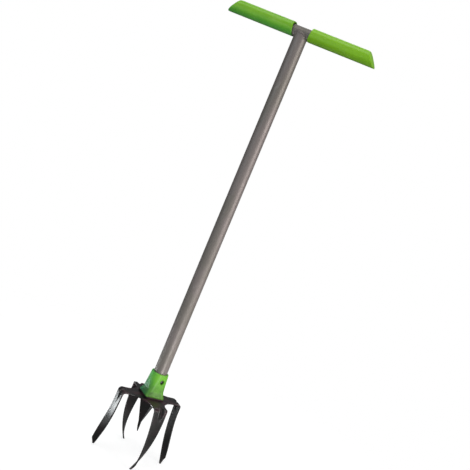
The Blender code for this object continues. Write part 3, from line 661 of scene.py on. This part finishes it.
def make_bar(material):
    mesh = along_bar(pipe("fine_cross_bar", BAR_RADIUS, BAR_WALL, BAR_LENGTH), -BAR_LENGTH / 2)
    dress(place(mesh, material), "cross_bar")


def tee_weld_path():
    """Middle of the tube's wall where it meets the bar, from the bar's axis."""
    wall_radius = SHAFT_RADIUS - SHAFT_WALL / 2
    softness = (TEE_WELD_SOFTNESS * BAR_SEAT) ** 2
    path = []
    for a in full_turn(TEE_WELD_STEPS):
        y = -wall_radius * cos(a)
        drop = BAR_SEAT ** 2 - y ** 2
        z = -sqrt((drop + hypot(drop, softness)) / 2)
        path.append(Vector((wall_radius * sin(a), y, z)))
    return path


def make_tee_weld(material):
    """Rippled bead round the coped end of the main tube."""
    path = tee_weld_path()
    rings = []
    for k, point in enumerate(path):
        along = (path[(k + 1) % TEE_WELD_STEPS] - path[k - 1]).normalized()
        rise = along.cross(Vector((point.x, point.y, 0)).normalized()).normalized()
        out = rise.cross(along)
        radius = TEE_WELD_RADIUS * ripple(TEE_WELD_WAVES, k / TEE_WELD_STEPS, TEE_WELD_RIPPLE)
        angles = full_turn(TEE_BEAD_STEPS)
        rings.append([point + radius * (cos(a) * out + sin(a) * rise) for a in angles])
    weld = place(settle(loft("fine_tee_weld", rings, True), BAR_LEVEL), material)
    bar_room = place(along_bar(rod("bar_room", BAR_SEAT, CUTTER_LENGTH)))
    top = BAR_LEVEL + CLEARANCE - TEE_DROP
    shaft_room = place(settle(rod("shaft_room", BORE_RADIUS, CUTTER_LENGTH), top - CUTTER_LENGTH / 2))
    cut(weld, bar_room, shaft_room)
    dress(weld, "tee_weld")


# Grips

def grip_ring(side, bottom, top, angle, inward):
    """Ring at the rounded edge of a grip's slanting end."""
    inset = GRIP_EDGE_RADIUS * (1 - sin(angle))
    back = inward * GRIP_EDGE_RADIUS * (1 - cos(angle))
    radii = (GRIP_BOTTOM_RADIUS - inset, GRIP_TOP_RADIUS - inset)
    outline = rounded_box(GRIP_HALF_DEPTH - inset, GRIP_LOW + inset, GRIP_HIGH - inset, *radii)
    ring = []
    for y, z in outline:
        x = bottom + (top - bottom) * (z - GRIP_LOW) / (GRIP_HIGH - GRIP_LOW) + back
        ring.append((side * x, y, z + BAR_LEVEL))
    return ring


def make_grip(name, side, material):
    """Grip with a pocket at its inner end; side is -1 or 1 along X."""
    angles = quarter_turn(GRIP_EDGE_STEPS)
    rings = [grip_ring(side, GRIP_START_BOTTOM, GRIP_START_TOP, a, 1) for a in angles]
    rings += [grip_ring(side, GRIP_END_BOTTOM, GRIP_END_TOP, a, -1) for a in reversed(angles)]
    grip = place(loft("fine_" + name, rings), material)

    half = GRIP_HALF_DEPTH - GRIP_SHELL
    high = GRIP_HIGH - GRIP_SHELL
    outline = rounded_box(half, -BAR_SEAT, high, GRIP_BOTTOM_RADIUS, GRIP_TOP_RADIUS - GRIP_SHELL)
    ends = (GRIP_START_BOTTOM - POCKET_OVERSHOOT, GRIP_START_BOTTOM + GRIP_POCKET_DEPTH)
    pocket = place(loft("pocket", [[(side * x, y, z + BAR_LEVEL) for y, z in outline] for x in ends]))
    bore_end = BAR_LENGTH / 2 + CLEARANCE
    bore = place(along_bar(rod("bore", BAR_SEAT, bore_end), side * bore_end / 2))
    cut(grip, pocket, bore)
    dress(grip, name)


# Ferrule, bolt and hub plate

def square_reach(half, radius, angle):
    """Distance from the middle of a rounded square to its outline."""
    turn = abs((angle + pi / 4) % (pi / 2) - pi / 4)
    inner = half - radius
    if tan(turn) * half <= inner:
        return half / cos(turn)
    along = inner * (cos(turn) + sin(turn))
    return along + sqrt(along ** 2 - 2 * inner ** 2 + radius ** 2)


def square_ring(half, radius, z):
    """Rounded square whose points lie closer together towards its corners."""
    ring = []
    for k in range(4 * FERRULE_SIDE_STEPS):
        side, step = divmod(k, FERRULE_SIDE_STEPS)
        spot = 2 * step / FERRULE_SIDE_STEPS - 1
        bunched = copysign(1 - (1 - abs(spot)) ** FERRULE_BUNCHING, spot)
        angle = pi / 2 * side + pi / 4 * bunched
        reach = square_reach(half, radius, angle)
        ring.append((reach * cos(angle), reach * sin(angle), z))
    return ring


def ferrule_half_width(height):
    base = FERRULE_BASE / 2
    if height <= FERRULE_BASE_LIP:
        return base
    if height <= FERRULE_FLARE_HEIGHT:
        share = (height - FERRULE_BASE_LIP) / (FERRULE_FLARE_HEIGHT - FERRULE_BASE_LIP)
        return between(base, FERRULE_WAIST, sin(share * pi / 2))
    share = (height - FERRULE_FLARE_HEIGHT) / (FERRULE_HEIGHT - FERRULE_FLARE_HEIGHT)
    return between(FERRULE_WAIST, COLLAR_RADIUS, share)


def ferrule_ring(height, inset=0.0):
    """The ferrule's outline, square at the foot and round at the top."""
    share = (height / FERRULE_HEIGHT) ** FERRULE_ROUNDING_POWER
    half = ferrule_half_width(height)
    radius = between(FERRULE_BASE_RADIUS, half, share)
    return square_ring(half - inset, radius - inset, height)


def ferrule_shell():
    foot = FERRULE_FOOT_EDGE
    crown = FERRULE_TOP_EDGE
    top = FERRULE_HEIGHT - crown
    rings = []
    for a in quarter_turn(SMALL_EDGE_STEPS):
        rings.append(ferrule_ring(foot * (1 - cos(a)), foot * (1 - sin(a))))
    rings += [ferrule_ring(height) for height in evenly(FERRULE_BASE_LIP, top, FERRULE_LEVELS)]
    for a in quarter_turn(EDGE_STEPS)[1:]:
        rings.append(ferrule_ring(top + crown * sin(a), crown * (1 - cos(a))))
    return loft("fine_ferrule", rings)


def ferrule_hollow():
    heights = evenly(0, FERRULE_HEIGHT - FERRULE_GRIP, HOLLOW_LEVELS)
    rings = [ferrule_ring(height, FERRULE_SHELL) for height in heights]
    rings.insert(0, [(x, y, -FERRULE_SHELL) for x, y, z in rings[0]])
    return loft("hollow", rings)


def bolt_head_room():
    """Round recess for the bolt's head, with a rounded mouth."""
    room = BOLT_HEAD_RADIUS + CLEARANCE
    mouth = COLLAR_RADIUS + RECESS_LIFT
    rounding = RECESS_ROUNDING
    profile = [
        (room, SHAFT_RADIUS / 2),
        (room, mouth - 1.5 * rounding),
        (room + rounding / 3, mouth - 2 * rounding / 3),
        (room + rounding, mouth),
        (room + 5 * rounding, mouth + 5 * rounding),
    ]
    return along_bolt(stacked("head_room", profile, RECESS_STEPS))


def make_ferrule(material):
    ferrule = place(settle(ferrule_shell(), FERRULE_FOOT, pi / 4), material)
    bore = place(settle(rod("bore", BORE_RADIUS, 3 * FERRULE_HEIGHT), FERRULE_FOOT))
    hollow = place(settle(ferrule_hollow(), FERRULE_FOOT, pi / 4))
    cut(ferrule, bore, hollow)

    corner = hexagon_corner(NUT_ACROSS / 2 + CLEARANCE)
    nut_room = stacked("nut_room", [(corner, -3 * COLLAR_RADIUS), (corner, -SHAFT_RADIUS / 2)], HEXAGON)
    cut(ferrule, place(bolt_head_room()), place(along_bolt(nut_room)))
    dress(ferrule, "ferrule")


def make_bolt(material):
    """Bolt with a domed head that bears on the tube."""
    top = BOLT_SEAT + BOLT_HEAD_HEIGHT
    tail = -(BOLT_SEAT + NUT_HEIGHT + BOLT_TAIL)
    profile = [
        (BOLT_RADIUS * BOLT_TAIL_END, tail),
        (BOLT_RADIUS, tail + BOLT_RADIUS * BOLT_TAIL_CONE),
        (BOLT_RADIUS, BOLT_SEAT),
        (BOLT_HEAD_RADIUS - BOLT_HEAD_EDGE, BOLT_SEAT),
    ]
    for a in quarter_turn(DOME_STEPS):
        radius = BOLT_HEAD_RADIUS * between(BOLT_HEAD_FLAT, 1, cos(a))
        rise = BOLT_HEAD_HEIGHT * between(BOLT_HEAD_RIM, 1, sin(a))
        profile.append((radius, BOLT_SEAT + rise))
    bolt = place(along_bolt(stacked("fine_ferrule_bolt", profile, BOLT_STEPS)), material)
    corner = hexagon_corner(BOLT_KEY / 2)
    key_profile = [(corner, top - BOLT_KEY_DEPTH), (corner + BOLT_KEY_DRAFT, top + BOLT_KEY_DEPTH)]
    cut(bolt, place(along_bolt(stacked("key", key_profile, HEXAGON))))
    dress(bolt, "ferrule_bolt")


def make_hub_plate(material):
    half = HUB_PLATE_SIDE / 2
    lower = []
    for a in quarter_turn(EDGE_STEPS):
        inset = HUB_PLATE_EDGE * (1 - sin(a))
        radius = HUB_PLATE_RADIUS - inset
        outline = rounded_box(half - inset, inset - half, half - inset, radius, radius)
        lower.append([(x, y, HUB_PLATE_EDGE * (1 - cos(a))) for x, y in outline])
    upper = [[(x, y, HUB_PLATE_THICKNESS - z) for x, y, z in ring] for ring in reversed(lower)]
    mesh = settle(loft("fine_hub_plate", lower + upper), PLATE_BASE, pi / 4)
    dress(place(mesh, material), "hub_plate")


# Tines and the welds between them

def web_half_width(distance):
    """Half the width of a tine's flat root, at a distance from the axis."""
    if distance >= WEB_HOLLOW:
        return TINE_ARM_WIDTH / 2
    sunk = min(WEB_HOLLOW - distance, TINE_WEB_RADIUS)
    fillet = WEB_HOLLOW - sqrt(TINE_WEB_RADIUS ** 2 - sunk ** 2)
    return min(distance - MITRE_GAP / sqrt(2), fillet)


# A station is a point on the guide edge, the direction across the tine, its width there, the run along
# it from the middle of the bend, and the radius of its edges.

def root_stations():
    marks = evenly(TINE_ROOT_START, WEB_CORNER, ROOT_STEPS)[:-1] + evenly(WEB_CORNER, BEND_START, ARM_STEPS)
    stations = []
    for distance in marks:
        half = web_half_width(distance)
        growth = min(max((distance - WEB_CORNER) / ROOT_EDGE_GROWTH, 0), 1)
        rounding = between(ROOT_EDGE_RADIUS, TINE_EDGE_RADIUS, growth)
        run = distance - BEND_START - BEND_ARC / 2
        stations.append((Vector((distance, half, 0)), Vector((0, 1, 0)), 2 * half, run, rounding))
    return stations


def bend_stations():
    start_half = web_half_width(BEND_START)
    stations = []
    for share in evenly(0, 1, BEND_STEPS)[1:-1]:
        turn = pi / 2 * share
        half = between(start_half, TINE_TOP_WIDTH / 2, share)
        x = BEND_START + TINE_BEND_RADIUS * sin(turn)
        z = TINE_BEND_RADIUS * (cos(turn) - 1)
        run = BEND_ARC * (share - 0.5)
        stations.append((Vector((x, half, z)), Vector((0, 1, 0)), 2 * half, run, TINE_EDGE_RADIUS))
    return stations


def blade_stations():
    drop = ARM_LEVEL - TINE_BEND_RADIUS
    knee = 1 - TINE_TIP_CUT / drop
    shares = [knee * share ** BLADE_BUNCHING for share in evenly(0, 1, BLADE_STEPS)]
    shares += evenly(knee, 1, TIP_STEPS)[1:]
    stations = []
    for share in shares:
        low = drop * share
        x = TINE_REACH + TINE_LEAN * share ** TINE_LEAN_POWER
        y = TINE_TOP_WIDTH / 2 - TINE_SWEEP * share ** TINE_SWEEP_POWER
        twist = TINE_TWIST * share ** TINE_TWIST_POWER
        across = Vector((-sin(twist), cos(twist), 0))
        width = between(TINE_TOP_WIDTH, TINE_LOW_WIDTH, share)
        above_tip = drop - low
        if above_tip < TINE_TIP_CUT:
            width = TINE_TIP_WIDTH + (width - TINE_TIP_WIDTH) * above_tip / TINE_TIP_CUT
        edge = Vector((x, y, -TINE_BEND_RADIUS - low))
        stations.append((edge, across, width, BEND_ARC / 2 + low, TINE_EDGE_RADIUS))
    return stations


def dart_share(run):
    return (run + DART_ARM_LENGTH) / (DART_ARM_LENGTH + DART_BLADE_LENGTH)


def dart_half(run):
    share = dart_share(run)
    if not 0 < share < 1:
        return 0
    middle = dart_share(0)
    near = share / middle if share < middle else (1 - share) / (1 - middle)
    return DART_WIDTH / 2 * near ** DART_TAPER_POWER


def dart_depth(spot):
    """Depth of the dart, from 1 on its floor to 0 outside the lips that the press raised."""
    rise = 1 - hypot(spot, DART_FLOOR_ROUNDING)
    lip = DART_LIP_HEIGHT * exp(-((spot - DART_LIP_PLACE) / DART_LIP_WIDTH) ** 2)
    return (rise + hypot(rise, DART_SIDE_ROUNDING)) / 2 - lip


def tine_columns(edge, width, run):
    """Places across a tine as shares of its width, each with its distance from the dart."""
    beyond = max(-DART_ARM_LENGTH - run, run - DART_BLADE_LENGTH, 0)
    plain = min(beyond / DART_WIDTH, 1)
    middle = (1 - (edge.y - DART_OFFSET) / width) * (1 - plain) + 0.5 * plain
    half = max(dart_half(run), DART_LEAST_HALF) / width * (1 - plain) + PLAIN_HALF * plain
    start = middle - half * DART_REACH
    end = middle + half * DART_REACH
    columns = [(share, DART_REACH) for share in evenly(0, start, FLAT_COLUMNS)[:-1]]
    for k in range(-DART_COLUMNS, DART_COLUMNS + 1):
        spot = DART_REACH * k / DART_COLUMNS
        columns.append((middle + half * spot, abs(spot)))
    columns += [(share, DART_REACH) for share in evenly(end, 1, FLAT_COLUMNS)[1:]]
    return columns


def edge_radius(width, rounding):
    return min(rounding, TINE_EDGE_LIMIT * width)


def press_dart(surface, depths, runs):
    """Draws the rows near the bend towards a curve that cuts the bend's corner."""
    corner = Vector((TINE_REACH, 0, 0))
    middle = len(surface[0]) // 2
    top_row = min(range(len(runs)), key=lambda i: abs(runs[i] + DART_ARM_LENGTH))
    foot_row = min(range(len(runs)), key=lambda i: abs(runs[i] - DART_BLADE_LENGTH))
    top = surface[top_row][middle].copy()
    foot = surface[foot_row][middle].copy()
    for row, row_depths, run in zip(surface, depths, runs):
        t = dart_share(run)
        if not 0 < t < 1:
            continue
        floor = top * (1 - t) ** 2 + corner * 2 * t * (1 - t) + foot * t ** 2
        for point, depth in zip(row, row_depths):
            point.x += (floor.x - point.x) * depth
            point.z += (floor.z - point.z) * depth


def tine_surface(stations):
    """Middle surface of a tine, one row of points for each station."""
    surface = []
    depths = []
    for edge, across, width, run, rounding in stations:
        columns = tine_columns(edge, width, run)
        inset = edge_radius(width, rounding)
        flat = width - 2 * inset
        surface.append([edge - across * (inset + flat * (1 - share)) for share, spot in columns])
        depths.append([dart_depth(spot) for share, spot in columns])
    press_dart(surface, depths, [station[3] for station in stations])
    return surface


def surface_normal(surface, i, j):
    last_row = len(surface) - 1
    last = len(surface[0]) - 1
    ahead = surface[min(i + 1, last_row)][j] - surface[max(i - 1, 0)][j]
    aside = surface[i][min(j + 1, last)] - surface[i][max(j - 1, 0)]
    out = ahead.cross(aside)
    if i == last_row:
        out.z = 0
    return out.normalized()


def edge_arc(point, facing, outward, radius):
    """Rounding of an edge, from the face that looks along facing."""
    core = point + facing * (TINE_THICKNESS / 2 - radius)
    angles = quarter_turn(SMALL_EDGE_STEPS)[1:]
    return [core + radius * (outward * sin(a) + facing * cos(a)) for a in angles]


def make_tine_mesh():
    """One pressing: flat root, bend with its dart, and twisting blade; the arm runs along X."""
    stations = root_stations() + bend_stations() + blade_stations()
    surface = tine_surface(stations)
    half = TINE_THICKNESS / 2
    rings = []
    for i, (edge, across, width, run, rounding) in enumerate(stations):
        row = surface[i]
        radius = edge_radius(width, rounding)
        normals = [surface_normal(surface, i, j) for j in range(len(row))]
        first, last = row[0], row[-1]
        first_normal, last_normal = normals[0], normals[-1]
        ring = [point - normal * half for point, normal in zip(row, normals)]
        ring += edge_arc(last, -last_normal, across, radius)
        ring += reversed(edge_arc(last, last_normal, across, radius))
        ring += reversed([point + normal * half for point, normal in zip(row, normals)])
        ring += edge_arc(first, first_normal, -across, radius)
        ring += reversed(edge_arc(first, -first_normal, -across, radius))
        rings.append(ring)
    return loft("fine_tine", rings)


def make_seam_weld_mesh():
    """Half-round rippled bead along X, which thins out at both ends."""
    start = SPIKE_TOP_DIAGONAL / 2 + SPIKE_WELD_LEG + SEAM_WELD_RADIUS
    end = WEB_CORNER * sqrt(2) - SEAM_WELD_INSET
    rings = []
    for share in evenly(0, 1, SEAM_WELD_STEPS):
        near = sqrt(min(share, 1 - share) / SEAM_WELD_SWELL)
        swell = min(1.0, between(SEAM_WELD_END, 1, near))
        radius = SEAM_WELD_RADIUS * swell * ripple(SEAM_WELD_WAVES, share, SEAM_WELD_RIPPLE)
        x = between(start, end, share)
        angles = evenly(0, pi, SEAM_BEAD_STEPS)
        rings.append([(x, SEAM_WELD_SPREAD * radius * cos(a), -radius * sin(a)) for a in angles])
    return loft("fine_seam_weld", rings)


# Spike and its weld

def spike_ring(diagonal, depth, lean):
    """Four ridges with slightly hollow faces between them, the ridges rounded over."""
    hollow = cos(pi / 4) * (1 - SPIKE_HOLLOW)
    corners = []
    for k in range(8):
        radius = diagonal / 2 * (hollow if k % 2 else 1)
        angle = pi / 4 * (k + 1)
        corners.append(Vector((radius * cos(angle), radius * sin(angle))))
    sharp = []
    for k, corner in enumerate(corners):
        following = corners[(k + 1) % 8]
        for share in evenly(0, 1, SPIKE_SIDE_STEPS)[:-1]:
            bunched = share - SPIKE_BUNCHING * sin(tau * share)
            sharp.append(corner.lerp(following, bunched))
    count = len(sharp)
    ring = []
    for k in range(count):
        soft = (sharp[k - 1] + 2 * sharp[k] + sharp[(k + 1) % count]) / 4
        ring.append((soft.x + lean, soft.y, -depth))
    return ring


def make_spike(material):
    rings = []
    for share in evenly(0, 1, SPIKE_NECK_STEPS):
        diagonal = between(SPIKE_TOP_DIAGONAL, SPIKE_NECK_DIAGONAL, share)
        rings.append(spike_ring(diagonal, SPIKE_NECK_DEPTH * share, 0))
    for share in evenly(0, 1, SPIKE_TIP_STEPS)[1:]:
        diagonal = between(SPIKE_NECK_DIAGONAL, SPIKE_TIP_DIAGONAL, share ** SPIKE_TIP_POWER)
        depth = between(SPIKE_NECK_DEPTH, SPIKE_LENGTH, share)
        rings.append(spike_ring(diagonal, depth, SPIKE_TIP_LEAN * share ** SPIKE_TIP_LEAN_POWER))
    mesh = settle(loft("fine_centre_spike", rings, False, SPIKE_SHARP_ANGLE), BEAD_LEVEL)
    dress(place(mesh, material), "centre_spike")


def spike_weld_section(size):
    """Section of the bead, as diagonals and depths, with a hollow face."""
    leg = SPIKE_WELD_LEG * sqrt(2)
    section = [(SPIKE_WELD_ROOM, 0), (SPIKE_WELD_ROOM + 2 * leg, 0)]
    for a in quarter_turn(SPIKE_BEAD_STEPS)[1:-1]:
        reach = SPIKE_WELD_REACH * leg * size * (1 - sin(a) * SPIKE_WELD_REACH_HOLLOW)
        depth = SPIKE_WELD_HEIGHT * leg * size * (1 - cos(a) * SPIKE_WELD_HEIGHT_HOLLOW)
        section.append((SPIKE_WELD_ROOM + reach, depth))
    section.append((SPIKE_WELD_ROOM, SPIKE_WELD_HEIGHT * leg))
    return section


def spike_corner(k):
    angle = pi / 2 * k + pi / 4
    return Vector((cos(angle), sin(angle)))


def make_spike_weld(material):
    """Rippled bead round the square top of the spike."""
    rings = []
    for k in range(4 * SPIKE_WELD_STEPS):
        side, step = divmod(k, SPIKE_WELD_STEPS)
        share = step / SPIKE_WELD_STEPS
        here = spike_corner(side).lerp(spike_corner(side + 1), share) / 2
        section = spike_weld_section(ripple(SPIKE_WELD_WAVES, share, SPIKE_WELD_RIPPLE))
        rings.append([(diagonal * here.x, diagonal * here.y, -depth) for diagonal, depth in section])
    mesh = settle(loft("fine_spike_weld", rings, True), BEAD_LEVEL)
    dress(place(mesh, material), "spike_weld")


# Stage

FLOOR_RADII = (0.02, 0.1, 0.2, 0.35, 0.6, 1.0, 1.5)
FLOOR_STEPS = 96
FLOOR_LEVEL = -0.0002
FLOOR_COLOUR = (0.46, 0.46, 0.46, 1)
FLOOR_ROUGHNESS = 0.9
FLOOR_LIFT = 0.70  # its own light, which only the camera sees
FLOOR_FADE = (0.30, 1.0)  # it turns clear between these distances from the axis

WHITE = (1, 1, 1, 1)
ROOM_COLOUR = (0.95, 0.98, 1.0, 1)
ROOM_LIGHT = 0.11
FRONT = (0.35, -0.85, 0.35)
FRONT_LIMITS = (-0.2, 1.0)  # cosines of the angle from that direction
FRONT_LIGHT = 0.30
ABOVE = (0.0, 0.0, 1.0)
ABOVE_LIMITS = (0.1, 1.0)
ABOVE_LIGHT = 0.20

CAMERA_DISTANCE = 2.0651  # from the tube's axis
CAMERA_AZIMUTH = radians(17.2335)
CAMERA_HEIGHT = 0.8081
CAMERA_PAN = radians(-0.8832)
CAMERA_TILT = radians(-8.1396)
CAMERA_ROLL = radians(22.8174)
CAMERA_LENS = 79.175  # in millimetres, as is the sensor
CAMERA_SENSOR = 36

FLOOR_LAMP_LEVEL = 0.004


def floor_mesh():
    mesh = bpy.data.meshes.new("floor")
    points = []
    for radius in FLOOR_RADII:
        points += circle(radius, 0.0, FLOOR_STEPS)
    faces = [tuple(range(FLOOR_STEPS))]
    for k in range(len(FLOOR_RADII) - 1):
        inner = k * FLOOR_STEPS
        outer = inner + FLOOR_STEPS
        for i in range(FLOOR_STEPS):
            j = (i + 1) % FLOOR_STEPS
            faces.append((inner + i, inner + j, outer + j, outer + i))
    mesh.from_pydata(points, [], faces)
    return mesh


def floor_finish():
    """Floor that looks white to the camera and fades out round the tool."""
    shade = Shade("stage_floor", specular=0.1)
    paper = shade.shader
    paper.inputs["Base Color"].default_value = FLOOR_COLOUR
    paper.inputs["Roughness"].default_value = FLOOR_ROUGHNESS
    paper.inputs["Emission Color"].default_value = WHITE
    seen = shade.add("LightPath").outputs["Is Camera Ray"]
    shade.fill(paper.inputs["Emission Strength"], shade.spread(seen, (0.0, 1.0), 0.0, FLOOR_LIFT))
    clear = shade.add("BsdfTransparent")
    blend = shade.add("MixShader")
    shade.fill(blend.inputs["Fac"], shade.outward(FLOOR_FADE))
    shade.fill(blend.inputs[1], paper.outputs["BSDF"])
    shade.fill(blend.inputs[2], clear.outputs["BSDF"])
    shade.fill(shade.tree.nodes["Material Output"].inputs["Surface"], blend.outputs["Shader"])
    return shade.material


def make_floor():
    floor = place(floor_mesh(), floor_finish())
    floor.location.z = FLOOR_LEVEL


def room_lobe(tree, where, direction, limits, light):
    """Light of the room that comes from round one direction."""
    values = [(1, Vector(direction).normalized())]
    towards = add_node(tree, "VectorMath", values, [(0, where)], operation="DOT_PRODUCT")
    return map_range(tree, towards.outputs["Value"], limits, 0.0, light, True)


def make_world():
    """White to the camera; to everything else a dim room, brighter above and at the front."""
    world = bpy.data.worlds.new("studio")
    bpy.context.scene.world = world
    world.use_nodes = True
    tree = world.node_tree
    tree.nodes.clear()
    where = add_node(tree, "TexCoord").outputs["Generated"]
    front = room_lobe(tree, where, FRONT, FRONT_LIMITS, FRONT_LIGHT)
    above = room_lobe(tree, where, ABOVE, ABOVE_LIMITS, ABOVE_LIGHT)
    lobes = add_node(tree, "Math", [], [(0, front), (1, above)], operation="ADD")
    light = add_node(tree, "Math", [(1, ROOM_LIGHT)], [(0, lobes.outputs["Value"])], operation="ADD")
    room = add_node(tree, "Background", [("Color", ROOM_COLOUR)], [("Strength", light.outputs["Value"])])
    white = add_node(tree, "Background", [("Color", WHITE)])
    seen = add_node(tree, "LightPath").outputs["Is Camera Ray"]
    links = [(0, seen), (1, room.outputs["Background"]), (2, white.outputs["Background"])]
    blend = add_node(tree, "MixShader", [], links)
    add_node(tree, "OutputWorld", [], [("Surface", blend.outputs["Shader"])])


def camera_axes():
    """Right, up and forward of a camera that is panned, tilted and rolled."""
    azimuth = CAMERA_AZIMUTH + CAMERA_PAN
    flat = cos(CAMERA_TILT)
    forward = Vector((-sin(azimuth) * flat, cos(azimuth) * flat, sin(CAMERA_TILT)))
    level = Vector((cos(azimuth), sin(azimuth), 0))
    upright = level.cross(forward)
    right = level * cos(CAMERA_ROLL) + upright * sin(CAMERA_ROLL)
    up = upright * cos(CAMERA_ROLL) - level * sin(CAMERA_ROLL)
    return right, up, forward


def make_camera():
    right, up, forward = camera_axes()
    data = bpy.data.cameras.new("camera")
    data.sensor_width = CAMERA_SENSOR
    data.sensor_fit = "HORIZONTAL"
    data.lens = CAMERA_LENS
    camera = bpy.data.objects.new("camera", data)
    bpy.context.collection.objects.link(camera)
    x = CAMERA_DISTANCE * sin(CAMERA_AZIMUTH)
    y = -CAMERA_DISTANCE * cos(CAMERA_AZIMUTH)
    turn = Matrix((right, up, -forward)).transposed().to_4x4()
    camera.matrix_world = Matrix.Translation(Vector((x, y, CAMERA_HEIGHT))) @ turn
    bpy.context.scene.camera = camera


def add_lamp(name, spot, target, size, power, colour=(1, 1, 1)):
    data = bpy.data.lights.new(name, "AREA")
    data.shape = "RECTANGLE"
    data.size, data.size_y = size
    data.energy = power
    data.color = colour
    lamp = bpy.data.objects.new(name, data)
    bpy.context.collection.objects.link(lamp)
    lamp.location = spot
    lamp.rotation_euler = (Vector(target) - Vector(spot)).to_track_quat("-Z", "Y").to_euler()
    return lamp


def add_floor_lamp(name, x, y, size, power, colour=(1, 1, 1)):
    """Lamp just above the floor that shines up."""
    return add_lamp(name, (x, y, FLOOR_LAMP_LEVEL), (x, y, 1.0), size, power, colour)


def shield_grips(*lamps):
    """Keeps the small lamps round the head out of the grips' gloss."""
    shielded = bpy.data.collections.new("shielded")
    for name in ("fine_left_grip", "fine_right_grip"):
        shielded.objects.link(bpy.data.objects[name])
    for entry in shielded.collection_objects:
        entry.light_linking.link_state = "EXCLUDE"
    for lamp in lamps:
        lamp.light_linking.receiver_collection = shielded


def make_lights():
    add_lamp("key", (1.70, -0.28, 0.68), (0, 0, 0.55), (1.30, 1.15), 18.5, (1.0, 0.965, 0.93))
    add_lamp("fill", (-1.3, -1.7, 1.0), (0, 0, 0.45), (2.0, 1.0), 5, (0.72, 0.92, 1.0))
    add_lamp("top", (-0.3, -0.8, 2.4), (0, 0, 0.5), (1.4, 1.4), 13, (1.0, 0.98, 0.94))
    sheen = add_lamp("sheen", (-0.28, 0.02, 0.020), (-0.06, 0.0, 0.020), (0.14, 0.032), 0.19)
    left = add_floor_lamp("left", -0.35, 0.01, (0.18, 0.15), 0.9, (0.88, 0.98, 1.0))
    glow = add_floor_lamp("glow", -0.23, -0.15, (0.13, 0.13), 0.16)
    line = add_floor_lamp("line", 0.36, -0.315, (0.10, 0.10), 2.6)
    ridge = add_floor_lamp("ridge", 0.25, 0.19, (0.12, 0.12), 0.45)
    add_lamp("back", (-0.3, 1.6, 2.2), (0, 0, 0.4), (1.8, 1.2), 10)
    shield_grips(sheen, left, glow, line, ridge)


paint = tube_paint()
plastic = lime_plastic()
black = head_paint()
dark = dark_steel()
plated = plated_steel()
bead = weld_bead()

make_shaft(paint)
make_bar(paint)
make_tee_weld(paint)
make_grip("left_grip", -1, plastic)
make_grip("right_grip", 1, plastic)
make_ferrule(plastic)
make_bolt(dark)
make_hub_plate(black)
repeat(make_tine_mesh(), TINES, ARM_LEVEL, black)
repeat(make_seam_weld_mesh(), SEAMS, BEAD_LEVEL, bead)
make_spike(black)
make_spike_weld(bead)

for name, material in (("ferrule_nut", dark), ("spigot", plated), ("spigot_weld", bead)):
    nodes[name].data.materials.clear()
    nodes[name].data.materials.append(material)

make_floor()
make_world()
make_camera()
make_lights()
bpy.context.scene.view_settings.view_transform = "Standard"
